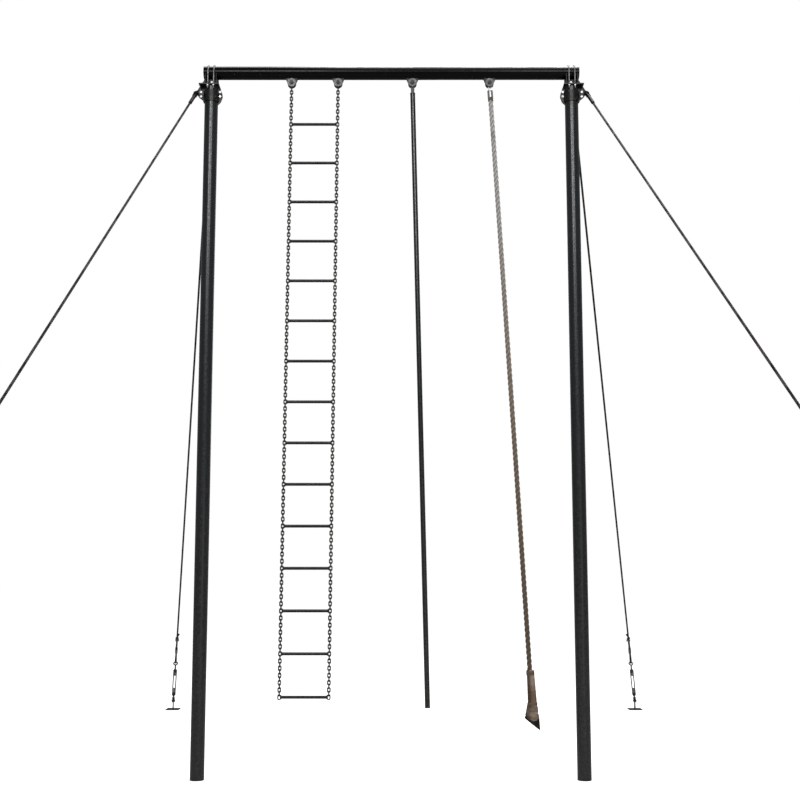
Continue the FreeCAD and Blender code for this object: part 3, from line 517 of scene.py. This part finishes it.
def weld_metal():
    """Painted-over weld: dark, with scorched and bare spots."""
    s = Shader("weld_metal", roughness=0.5, level=0.4)
    colour = s.mix(s.remap(s.noise(140, 4), 0.40, 0.68), linear(20, 21, 21), linear(58, 58, 57))
    colour = s.mix(s.math("MULTIPLY", s.remap(s.noise(52, 5), 0.56, 0.70), 0.7), colour, linear(86, 58, 40))
    rough = s.remap(s.noise(90, 3), 0.3, 0.7, 0.38, 0.62)
    return s.finish(colour, rough, s.bump(s.noise(500, 3), 0.0003, 0.6))


MATERIALS = {
    "black_paint": enamel("black_paint", linear(22, 26, 28), 0.27, dust=0.22, scratches=0.12),
    # the beam's paint has a painted highlight along its top
    "beam_paint": enamel("beam_paint", linear(6, 7, 8), 0.22, dust=0.3, level=0.1, scratches=0.10,
                         painted_highlight_above=BEAM_Z + 0.032),
    "black_cap": rubber("black_cap", linear(24, 25, 25)),
    "head_paint": enamel("head_paint", linear(13, 14, 14), 0.36, dust=0.5, chips=0.64, level=0.3),
    "galvanised": galvanised("galvanised"),
    "weathered_zinc": galvanised("weathered_zinc", 0.45),
    "dull_zinc": galvanised("dull_zinc", 0.16),
    "turnbuckle_steel": oiled_steel("turnbuckle_steel", linear(58, 56, 50), rust=0.6),
    "anchor_steel": enamel("anchor_steel", linear(34, 35, 33), 0.45, dust=0.9, chips=0.62),
    "cable_steel": wire_rope_steel(),
    "hanger_bolt_steel": oiled_steel("hanger_bolt_steel", linear(34, 34, 35), rust=0.35),
    "chain_steel": enamel("chain_steel", linear(24, 25, 25), 0.30, dust=0.8, chips=0.60, dust_top=7.5),
    "rung_paint": enamel("rung_paint", linear(8, 9, 9), 0.32, dust=0.2, level=0.35, scratches=0.1),
    "pole_paint": enamel("pole_paint", linear(24, 26, 26), 0.27, dust=0.3, scratches=0.15),
    "rope_fibre": rope_fibre(),
    "boot_leather": leather("boot_leather", linear(168, 150, 134), linear(124, 100, 80), 0.7),
    "strap_leather": leather("strap_leather", linear(146, 128, 112), linear(98, 76, 60), 0.8),
    "foot_rubber": rubber("foot_rubber", linear(14, 13, 12)),
    "waxed_twine": twine("waxed_twine", linear(128, 110, 92)),
    "weld_metal": weld_metal(),
    "dark_steel": oiled_steel("dark_steel", linear(38, 38, 37), rust=0.3),
    "thread_steel": oiled_steel("thread_steel", linear(120, 120, 118), rust=0.3, gloss=0.35),
}


def dress_nodes():
    """Give each CAD node the material of its record slot, or a special finish of it."""
    special = {"beam": "beam_paint", "hanger_washers": "dull_zinc", "cable_forks": "dark_steel",
               "saddle_u_bolts": "weathered_zinc", "cable_clamps": "weathered_zinc",
               "cable_thimbles": "weathered_zinc"}
    for subpart in frame["record"]["subparts"]:
        node = frame["nodes"][subpart["node"]]
        material = MATERIALS[special.get(subpart["node"], subpart["material_slot"])]
        for slot in node.material_slots:
            slot.material = material
        if not node.material_slots:
            node.data.materials.append(material)


# ---- climbing rope ------------------------------------------------------------------------
def joint(name):
    return next(j for j in frame["joints"] if j["name"] == name)


ROPE_TOP = np.array(joint("rope_swing")["pos_m"], float)
ALONG = np.array([math.sin(ROPE_LEAN), 0, -math.cos(ROPE_LEAN)])
ASIDE = np.array([math.cos(ROPE_LEAN), 0, math.sin(ROPE_LEAN)])


def on_rope(along, aside=0.0, front=0.0):
    """A point given along the rope from its bolt, to the right of it and towards the climber."""
    return (ROPE_TOP + np.multiply.outer(along, ALONG) + np.multiply.outer(aside, ASIDE)
            - np.multiply.outer(front, Y_AXIS))


ROPE_ROUTE = ((FERRULE_END - 0.020, 0.0), (2.700, 0.005), (ROPE_END, 0.0))     # along, aside
ROPE_STEP, ROPE_TURN = 0.0054, 0.135  # between two points of its skin; one turn of a strand


def spline_line(route, name):
    """Points along a smooth curve whose control points are `route`."""
    curve = bpy.data.curves.new(name, "CURVE")
    curve.dimensions = "3D"
    spline = curve.splines.new("NURBS")
    spline.points.add(len(route) - 1)
    for point, place in zip(spline.points, route):
        point.co = (*place, 1)
    spline.order_u = 3
    spline.use_endpoint_u = True
    spline.resolution_u = 64
    carrier = bpy.data.objects.new(name, curve)
    bpy.context.scene.collection.objects.link(carrier)
    bpy.context.view_layer.update()
    mesh = bpy.data.meshes.new_from_object(carrier.evaluated_get(bpy.context.evaluated_depsgraph_get()))
    line = np.array([vertex.co for vertex in mesh.vertices])
    bpy.data.objects.remove(carrier)
    bpy.data.meshes.remove(mesh)
    return line


def make_rope(boot_pieces):
    """The laid rope, with a whipping under its metal fitting."""
    line = spline_line([on_rope(*place) for place in ROPE_ROUTE], "rope_route")
    line = even(line, ROPE_STEP)
    part = laid(line, -Y_AXIS, ROPE_R * 1.05, strands=3, reach=0.42, pitch=ROPE_TURN, sides=36)
    rope = piece("climbing_rope_laid", [part], "rope", MATERIALS["rope_fibre"],
                 stands_for=["climbing_rope"], sharp=80)
    whipping = piece("rope_whipping", [wrapped(on_rope(FERRULE_END + 0.017), ALONG, ROPE_R, 0.0015, 9)],
                     "rope", MATERIALS["waxed_twine"])


# ---- the rope's bound foot ----------------------------------------------------------------
def boot_section(along):
    """Radius and sideways shift of the boot at a distance below its top."""
    share = np.clip(along / BOOT_LENGTH, 0, 1)
    shares, radii, shifts = zip(*BOOT_RINGS)
    return np.interp(share, shares, radii), np.interp(share, shares, shifts)


def boot_cut(aside):
    """How far below the boot's top the slanted cut lies."""
    return BOOT_LENGTH - BOOT_SLANT * (BOOT_TIP_OUT - aside)


def boot_point(along, angle, lift=0.0):
    """A point on the boot's outside; angle 0 faces right and a quarter turn faces the climber."""
    radius, shift = boot_section(along)
    aside = shift + (radius + lift) * np.cos(angle)
    return aside, (radius + lift) * np.sin(angle)


def boot_shell(share, angle, lift, rise=None):
    """A skin on the boot from its top down to its cut, or with `rise`, from that far above the cut."""
    along = share * BOOT_LENGTH + 0 * angle
    for _ in range(5):
        aside, front = boot_point(along, angle, lift)
        low = boot_cut(aside)
        high = 0.0 if rise is None else low - rise
        along = high + share * (low - high)
    return along, aside, front


def grid_part(along, aside, front, shade, ends="closed"):
    """Rings of boot points as a mesh part: capped at both ends, or joined into a ring-shaped band."""
    points = on_rope(BOOT_TOP + along, aside, front).reshape(-1, 3)
    rows, sides = along.shape
    spans = rows if ends == "joined" else rows - 1
    i = np.arange(spans)[:, None] + np.zeros((1, sides), int)
    j = np.zeros((spans, 1), int) + np.arange(sides)
    i_next, j_next = (i + 1) % rows, (j + 1) % sides
    faces = np.stack([i * sides + j, i_next * sides + j, i_next * sides + j_next, i * sides + j_next], -1)
    faces = faces.reshape(-1, 4)[:, ::-1].tolist()
    uv = np.zeros((len(faces) * 4, 2))
    if ends == "closed":
        faces.append(list(range((rows - 1) * sides, rows * sides)))
        faces.append(list(range(sides))[::-1])
        uv = np.concatenate([uv, np.zeros((2 * sides, 2))])
    return points, faces, uv, (shade + 0 * along).reshape(-1)


BOOT_SEAM = math.radians(62)          # where the wrapped leather overlaps itself
WRAP_T = 0.0028
BOOT_SIDES = 120
# lift of the sleeve's hem and of the foot's skin, at shares of their length
HEM = ((0, -0.004), (0.004, 0.0005), (0.010, 0.0022), (0.017, 0.0022), (0.024, 0.0008), (0.032, 0))
FOOT_SKIN = ((0, -0.002), (0.02, 0.0032), (0.10, 0.0046), (0.92, 0.0046), (0.97, 0.0038), (1.0, 0.0008))
# how rough the leather is, at shares of the boot's length
LEATHER_FOLDS = ((0, 0.0006), (0.1, 0.0012), (0.5, 0.0018), (0.75, 0.0030), (1, 0.0022))
# a strap's section: place across it, height in strap thicknesses (below 0: metres into the leather)
STRAP_SECTION = ((-1.0, -0.003), (-1.0, 0.6), (-0.93, 0.9), (-0.5, 1.0), (0, 1.04), (0.5, 1.0),
                 (0.93, 0.9), (1.0, 0.6), (1.0, -0.003))
FOOT_RIM, FOOT_TALL = 0.016, 0.094    # height on the left, and what the right adds
THREAD_R, STITCH_ARCH = 0.0009, 0.0016


def wrap_lift(angle):
    """Thickness of leather that is wrapped once round and overlaps at the seam."""
    return WRAP_T * (((angle - BOOT_SEAM) % TAU) / TAU)


def crease(along, angle, seed):
    """Shallow folds that run round the leather at a slant."""
    draws = np.random.default_rng(seed)
    folds = np.zeros_like(along)
    for _ in range(9):
        pitch, tilt, start, turns = draws.uniform((0.018, -0.03, 0, 1), (0.050, 0.03, TAU, 3))
        folds += np.sin(TAU * (along + tilt * np.cos(angle * round(turns) + start)) / pitch + start)
    return folds / 9


def left_shade(angle):
    """1 on the side that faces left, 0 on the right."""
    return (0.5 - 0.5 * np.cos(angle)) ** 1.2


def boot_sleeve():
    """The wrapped leather, from its rolled hem down to the slanted cut."""
    share = np.array([place for place, _ in HEM] + list(np.linspace(0.045, 1, 70)))[:, None]
    angle = TAU * np.arange(BOOT_SIDES)[None] / BOOT_SIDES
    folds = crease(share * BOOT_LENGTH + 0 * angle, angle + 0 * share, 3)
    lift = np.interp(share, *zip(*HEM)) + wrap_lift(angle) + np.interp(share, *zip(*LEATHER_FOLDS)) * folds
    along, aside, front = boot_shell(share, angle, lift)
    return grid_part(along, aside, front, left_shade(angle))


def boot_band(middle, tilt, half, thick, seed):
    """A leather strap round the boot, tilted so that its right side hangs lower."""
    reach = np.array([place for place, _ in STRAP_SECTION])[:, None]
    lift = np.array([up if up < 0 else up * thick + WRAP_T for _, up in STRAP_SECTION])[:, None]
    angle = TAU * np.arange(BOOT_SIDES)[None] / BOOT_SIDES
    wobble = np.random.default_rng(seed).uniform(-1, 1, 4)
    sway = sum(w * np.cos((k + 2) * angle + 3 * w) for k, w in enumerate(wobble)) * 0.0016
    along = middle + tilt * np.cos(angle) + sway + half * reach
    lift = lift + 0.0007 * crease(along, angle + 0 * reach, seed)
    aside, front = boot_point(along, angle, lift)
    return grid_part(along, aside, front, 0.55 * left_shade(angle), ends="joined")


def boot_foot():
    """The black rubber foot: tall on the right, a thin rim along the cut on the left."""
    share = np.array([0, 0.02, 0.10, 0.20] + list(np.linspace(0.3, 0.92, 10)) + [0.97, 1.0])[:, None]
    angle = TAU * np.arange(BOOT_SIDES)[None] / BOOT_SIDES
    rise = FOOT_RIM + FOOT_TALL * (0.5 + 0.5 * np.cos(angle + 0.15)) ** 2.4
    lift = np.interp(share, *zip(*FOOT_SKIN)) + WRAP_T * 0.5
    along, aside, front = boot_shell(share, angle, lift, rise=rise)
    return grid_part(along + 0.004 * share, aside, front, 0.0)


def stitch(first, last, out):
    """One stitch: a short arched piece of thread."""
    t = np.linspace(0, 1, 7)[:, None]
    line = first + (last - first) * t + out * (STITCH_ARCH * np.sin(math.pi * t) - 0.0004)
    return skin(line, np.full((7, 6), THREAD_R), np.cross(unit(last - first), out))


def boot_surface(along, angle, lift):
    """A point in space on the boot's outside."""
    aside, front = boot_point(along, angle, lift)
    return on_rope(BOOT_TOP + along, aside, front)


def stitched_line(start, end, angle, lift, step=0.011):
    """Stitches down the boot at one angle."""
    stitches = []
    for along in np.arange(start, end, step):
        first, last = (boot_surface(a, angle, lift) for a in (along, along + step * 0.62))
        out = unit(boot_surface(along, angle, lift + 0.01) - first)
        stitches.append(stitch(first, last, out))
    return stitches


def stitched_ring(middle, tilt, lift, step=0.010):
    """Stitches round a tilted strap."""
    stitches = []
    radius = boot_section(middle)[0]
    count = int(TAU * radius / step)
    for k in range(count):
        angles = (TAU * k / count, TAU * (k + 0.6) / count)
        first, last = (boot_surface(middle + tilt * math.cos(a), a, lift) for a in angles)
        out = unit(boot_surface(middle + tilt * math.cos(angles[0]), angles[0], lift + 0.01) - first)
        stitches.append(stitch(first, last, out))
    return stitches


# middle, tilt, half width, thickness and seed of each strap
STRAPS = ((0.302, 0.010, 0.021, 0.0034, 11), (0.352, 0.022, 0.022, 0.0030, 12))
TWINES = ((0.026, 9), (0.268, 6))     # bindings: where along the boot, turns
SEAM_START, SEAM_END, SEAM_SIDES, STRAP_EDGE = 0.052, 0.245, (0.12, -0.16), 0.72


def make_boot():
    """The rope's bound foot: wrapped leather, two straps, twine bindings, seams and a rubber foot."""
    sleeve = piece("boot_sleeve", [boot_sleeve()], "rope", MATERIALS["boot_leather"],
                   stands_for=["rope_end_boot"], sharp=60)
    straps = piece("boot_straps", [boot_band(*strap) for strap in STRAPS], "rope",
                   MATERIALS["strap_leather"], sharp=60)
    foot = piece("boot_foot", [boot_foot()], "rope", MATERIALS["foot_rubber"], sharp=60)
    bindings = []
    for along, turns in TWINES:
        radius, shift = boot_section(along)
        bindings.append(wrapped(on_rope(BOOT_TOP + along, shift), ALONG, radius + 0.0022, 0.0019, turns))
    twines = piece("boot_bindings", bindings, "rope", MATERIALS["waxed_twine"])
    seams = []
    for turn in SEAM_SIDES:
        seams += stitched_line(SEAM_START, SEAM_END, BOOT_SEAM + turn, WRAP_T + 0.0002)
    for middle, tilt, half, thick, _ in STRAPS:
        for edge in (-STRAP_EDGE, STRAP_EDGE):
            seams += stitched_ring(middle + edge * half, tilt, WRAP_T + thick)
    thread_piece = piece("boot_stitching", seams, "rope", MATERIALS["waxed_twine"])
    return [sleeve, straps, foot, twines, thread_piece]


# ---- guys ---------------------------------------------------------------------------------
def guy_axes(end, side):
    """Top pin, directions down the guy, up-and-out from it and across it, and pin-to-pin length."""
    turn = joint("turnbuckle_%s_%s_turn" % (end, side))
    middle, along = np.array(turn["pos_m"], float), unit(np.array(turn["axis"], float))
    foot = middle + along * ANCHOR_FROM_MIDDLE
    top = middle + along * (GUY_TOP_Z - middle[2]) / along[2]
    across = np.cross(unit(along * (1, 1, 0)), Z_AXIS)
    return top, along, np.cross(across, along), across, np.linalg.norm(foot - top)


def fillet(before, corner, after, radius, count=14):
    """Points of the arc that rounds a corner."""
    a, b = unit(before - corner), unit(after - corner)
    half = math.acos(np.clip(a @ b, -1, 1)) / 2
    middle = unit(a + b)
    centre = corner + middle * radius / math.sin(half)
    first = corner + a * radius / math.tan(half) - centre
    last = corner + b * radius / math.tan(half) - centre
    t = np.linspace(0, 1, count)[:, None]
    return centre + radius * unit(first * (1 - t) + last * t)


def touch(centre, radius, point, turn):
    """Angle at which the line from `point` touches the thimble's circle."""
    dx, dy = point[0] - centre, point[1]
    return math.atan2(dy, dx) + turn * math.acos(radius / math.hypot(dx, dy))


def cable_line(length):
    """The cable's centre line in the guy's own plane: straight, round the thimble and back as a tail."""
    centre = length - EYE_FROM_PIN - math.sqrt(EYE_HOLE_R ** 2 - (THIMBLE_W / 2) ** 2) + 0.0003 - THIMBLE_R
    mouth = centre - LOOP_LENGTH
    radius = THIMBLE_R + THIMBLE_T + 0.0002 + CABLE_R
    tail, live = touch(centre, radius, (mouth, TAIL_OFFSET), -1), touch(centre, radius, (mouth, 0), 1)
    angle = np.linspace(live, tail, 60)
    loop = np.stack([centre + radius * np.cos(angle), radius * np.sin(angle)], 1)
    start, corner = np.array([CABLE_START, 0.0]), np.array([mouth, 0.0])
    tail_corner, end = np.array([mouth, TAIL_OFFSET]), np.array([mouth - DEAD_END, TAIL_OFFSET])
    return np.concatenate([[start], fillet(start, corner, loop[0], CORNER_R), loop,
                           fillet(loop[-1], tail_corner, end, CORNER_R), [end]])


SPREAD_LENGTH, SPREAD = 0.055, 0.020  # the tail's free end bends away from the cable
GUY_STEP, GUY_TURN = 0.0065, 0.130    # between two points of its skin; one turn of a strand


def make_guys():
    """The four twisted cables, a binding on each tail, and what make_guy_details() adds."""
    for end in ("front", "back"):
        for side in ("left", "right"):
            top, along, up, across, length = guy_axes(end, side)
            flat = cable_line(length)
            line = top + flat[:, :1] * along + flat[:, 1:] * up
            line = even(line, GUY_STEP)
            left = GUY_STEP * np.arange(len(line))[::-1]
            bend = SPREAD * np.clip(1 - left / SPREAD_LENGTH, 0, 1) ** 2
            line = line - (bend * OUTWARD[side])[:, None] * across
            name = "%s_%s" % (end, side)
            strands = laid(line, across, CABLE_R, strands=6, reach=0.62, pitch=GUY_TURN, sides=24)
            seizing = wrapped(line[-4], line[-3] - line[-5], CABLE_R * 0.98, 0.0011, 7)
            piece("guy_rope_" + name, [strands], "stand", MATERIALS["cable_steel"],
                  stands_for=["guy_cable_" + name], sharp=80)
            piece("guy_seizing_" + name, [seizing], "stand", MATERIALS["thread_steel"])
            make_guy_details(name, top, along, across, length)


def make_guy_details(name, top, along, across, length):
    """Screw threads at the turnbuckle and welds at the anchor's lug."""
    eye = length - EYE_FROM_PIN
    body = (length - BUCKLE_FROM_PIN - BUCKLE_LENGTH, length - BUCKLE_FROM_PIN)
    spans = ((eye + EYE_R + EYE_NECK, body[0] - THREAD_GAP),
             (body[0] + BUCKLE_HUB + THREAD_GAP, eye + SCREW_INSIDE - THREAD_GAP),
             (length - JAW_END - JAW_SCREW, body[1] - BUCKLE_HUB - THREAD_GAP),
             (body[1] + THREAD_GAP, length - JAW_END))
    screws = [thread(top + along * a, top + along * b, SCREW_R, M16_PITCH) for a, b in spans]
    piece("screw_threads_" + name, screws, "stand", MATERIALS["thread_steel"], sharp=30)
    foot = top + along * length
    heading = unit(along * (1, 1, 0))
    base = foot * (1, 1, 0) + Z_AXIS * (ANCHOR_TOP + 0.0008)
    rim = [base + heading * a + across * b for a, b in (
        (-ANCHOR_LUG_HALF, -ANCHOR_LUG_T / 2), (ANCHOR_LUG_HALF, -ANCHOR_LUG_T / 2),
        (ANCHOR_LUG_HALF, ANCHOR_LUG_T / 2), (-ANCHOR_LUG_HALF, ANCHOR_LUG_T / 2))]
    piece("anchor_weld_" + name, [bead(rim, WELD_M, closed=True)], "stand", MATERIALS["weld_metal"])


# ---- welds and threads on the frame -------------------------------------------------------
def make_head_details():
    """Welds and threads at the post heads, the collars and the hanging points."""
    welds, threads = [], []
    plate_top = POST_TOP_Z + PLATE_T
    edge, wall_gap = 0.003, 0.007     # a bead stops this far from a plate's edge or a cradle's wall
    for side, x in POSTS_X.items():
        out = OUTWARD[side]
        welds.append(bead(ring_line((x, 0, POST_TOP_Z - 0.001), TUBE_R + 0.0015, X_AXIS, Y_AXIS), WELD_XL,
                          closed=True))
        for y in (-FIN_T / 2, FIN_T / 2):
            for near, far in ((-PLATE_IN + edge, -CRADLE_X - wall_gap),
                              (-CRADLE_X + wall_gap, CRADLE_X - wall_gap),
                              (CRADLE_X + wall_gap, PLATE_OUT - edge)):
                welds.append(bead([(x + out * near, y, plate_top), (x + out * far, y, plate_top)], WELD_S))
        for wall in (-CRADLE_X, CRADLE_X):
            for face in (-CRADLE_T / 2, CRADLE_T / 2):
                for half in (-1, 1):
                    welds.append(bead([(x + wall + face, half * 0.008, plate_top),
                                       (x + wall + face, half * CRADLE_FOOT_Y, plate_top)], WELD_S))
        reach = math.sqrt(COLLAR_R ** 2 - EAR_Y ** 2)
        for way in (-1, 1):
            for y in (-EAR_Y, EAR_Y):
                welds.append(bead([(x + way * reach, y, z) for z in COLLAR_Z], WELD_M))
        for dx in (-UBOLT_X, UBOLT_X):
            for y in (-UBOLT_Y, UBOLT_Y):
                for low, high in ((POST_TOP_Z - UBOLT_END + THREAD_GAP, POST_TOP_Z - UBOLT_NUT - 0.0005),
                                  (plate_top + THREAD_GAP, plate_top + 0.018)):
                    threads.append(thread((x + dx, y, low), (x + dx, y, high), UBOLT_R, M12_PITCH))
        for ear, reach in EAR_BOLTS.items():
            bolt_x = x + (out if ear == "outer" else -out) * reach
            for z in EAR_BOLT_Z:
                threads.append(thread(*((bolt_x, y, z) for y in EAR_BOLT_END), EAR_BOLT_R, M12_PITCH))
    for x in HANGERS_X:
        threads.append(thread(*((x, y, PIN_Z) for y in HANGER_BOLT_END), HANGER_BOLT_R, M16_PITCH))
        for inner in (-HANGER_GAP / 2 - HANGER_PLATE_T, HANGER_GAP / 2):
            outer = inner + HANGER_PLATE_T
            rim = []
            for dx, y in ((-1, inner), (1, inner), (1, outer), (-1, outer)):
                under = BEAM_Z - math.sqrt(TUBE_R ** 2 - y ** 2) - 0.0005
                rim.append((x + dx * HANGER_TOP_W / 2, y, under))
            welds.append(bead(rim, WELD_L, closed=True))
    piece("frame_welds", welds, "stand", MATERIALS["weld_metal"])
    piece("frame_threads", threads, "stand", MATERIALS["thread_steel"], sharp=30)


def make_rung_details():
    """A weld where each rung meets its chain links."""
    for number in range(1, RUNG_COUNT + 1):
        z = FIRST_RUNG_Z - (number - 1) * RUNG_PITCH
        shift = (LADDER_TOP_Z - z) * math.tan(LADDER_LEAN)
        rings = [ring_line((x - shift, 0, z), RUNG_R, Y_AXIS, Z_AXIS)
                 for x in (CHAINS_X[0] + RUNG_START, CHAINS_X[1] - RUNG_START)]
        body = "ladder_bay_%02d" % number
        piece("rung_welds_%02d" % number, [bead(ring, WELD_S, closed=True) for ring in rings], body,
              MATERIALS["weld_metal"])


def make_pole_details():
    """Welds round the pole's tab, at its neck and at its foot."""
    top = np.array([FRAME_X + POLE_X, 0, PIN_Z])
    foot = np.array([top[0] + POLE_FOOT_DX, 0, POLE_FOOT_Z])
    along = unit(foot - top)
    aside = unit(np.cross(Y_AXIS, along))
    neck = top + along * (POLE_NECK - 0.001)
    rim = [neck + aside * POLE_TAB_X * a + Y_AXIS * POLE_TAB_Y * b
           for a, b in ((-1, -1), (1, -1), (1, 1), (-1, 1))]
    welds = [bead(rim, WELD_M, closed=True),
             bead(ring_line(neck + along * 0.0015, POLE_R - 0.0005, aside, Y_AXIS), 0.0030, closed=True),
             bead(ring_line(foot - along * 0.0050, POLE_R - 0.0003, aside, Y_AXIS), 0.0026, closed=True)]
    piece("pole_welds", welds, "pole", MATERIALS["weld_metal"])


# ---- camera, light and floor --------------------------------------------------------------
CAMERA_PLACE, CAMERA_TILT_UP, CAMERA_LENS = (-0.047, -9.909, 1.764), 7.48, 54   # metres, degrees, mm
WHITE = (1, 1, 1, 1)


def make_camera():
    camera = bpy.data.objects.new("camera", bpy.data.cameras.new("camera"))
    bpy.context.scene.collection.objects.link(camera)
    camera.data.lens = CAMERA_LENS
    camera.data.clip_end = 200
    camera.location = CAMERA_PLACE
    camera.rotation_euler = (math.radians(90 + CAMERA_TILT_UP), 0, 0)
    bpy.context.scene.camera = camera


def area_light(name, place, target, size, radiance):
    """A soft light that faces its target, as bright for its size as `radiance` says."""
    light = bpy.data.lights.new(name, "AREA")
    light.shape = "RECTANGLE"
    light.size, light.size_y = size
    light.energy = radiance * math.pi * size[0] * size[1]
    carrier = bpy.data.objects.new(name, light)
    bpy.context.scene.collection.objects.link(carrier)
    carrier.location = place
    carrier.rotation_euler = (Vector(target) - Vector(place)).to_track_quat("-Z", "Y").to_euler()


def camera_only(tree, lit, seen, output):
    """Show the camera one shader and the light rays another."""
    rays = tree.nodes.new("ShaderNodeLightPath")
    chooser = tree.nodes.new("ShaderNodeMixShader")
    tree.links.new(rays.outputs["Is Camera Ray"], chooser.inputs["Fac"])
    tree.links.new(lit, chooser.inputs[1])
    tree.links.new(seen, chooser.inputs[2])
    tree.links.new(chooser.outputs["Shader"], output.inputs["Surface"])


def make_stage():
    """A floor and a world that look white to the camera and grey to the light, and five soft lights."""
    size = 60.0
    corners = [(-size, -size, 0), (size, -size, 0), (size, size, 0), (-size, size, 0)]
    mesh = bpy.data.meshes.new("floor")
    mesh.from_pydata(corners, [], [(0, 1, 2, 3)])
    s = Shader("studio_floor", roughness=0.95, level=0.05)
    shown = s.node("ShaderNodeBsdfPrincipled")
    shown.inputs["Roughness"].default_value = 0.95
    shown.inputs["Specular IOR Level"].default_value = 0.05
    shown.inputs["Base Color"].default_value = (0.80, 0.80, 0.80, 1)
    shown.inputs["Emission Color"].default_value = WHITE
    shown.inputs["Emission Strength"].default_value = 0.80
    material = s.finish(s.mix(s.noise(1.2, 3), (0.50, 0.50, 0.50, 1), (0.54, 0.54, 0.54, 1)))
    camera_only(s.tree, s.bsdf.outputs["BSDF"], shown.outputs["BSDF"], s.tree.nodes["Material Output"])
    mesh.materials.append(material)
    floor = bpy.data.objects.new("floor", mesh)
    bpy.context.scene.collection.objects.link(floor)
    floor.location.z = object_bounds()[0].z - 0.001

    world = bpy.data.worlds.new("studio")
    world.use_nodes = True
    bpy.context.scene.world = world
    tree = world.node_tree
    seen = tree.nodes.new("ShaderNodeBackground")
    seen.inputs["Color"].default_value = WHITE
    lit = tree.nodes["Background"]
    lit.inputs["Color"].default_value = (0.94, 0.97, 1.0, 1)
    lit.inputs["Strength"].default_value = 0.30
    camera_only(tree, lit.outputs["Background"], seen.outputs["Background"], tree.nodes["World Output"])

    area_light("key_left", (-2.6, -13.0, 9.9), (POSTS_X["left"], 0, 5.2), (2.6, 3.6), 20.0)
    area_light("key_right", (3.1, -13.0, 9.9), (POSTS_X["right"], 0, 5.2), (2.4, 3.6), 16.0)
    area_light("low_fill", (4.5, -11.0, 1.6), (FRAME_X, 0, 1.6), (5.0, 2.6), 0.9)
    area_light("overhead", (1.3, 0.6, 11.2), (1.3, 0.6, 0), (4.8, 9.0), 4.6)
    area_light("behind_soft", (3.0, 12.0, 6.0), (FRAME_X, 0, 3.4), (5.0, 5.0), 1.8)
    bpy.context.scene.view_settings.view_transform = "Standard"


make_camera()
make_stage()
dress_nodes()
make_rope(make_boot())
make_guys()
make_head_details()
make_rung_details()
make_pole_details()
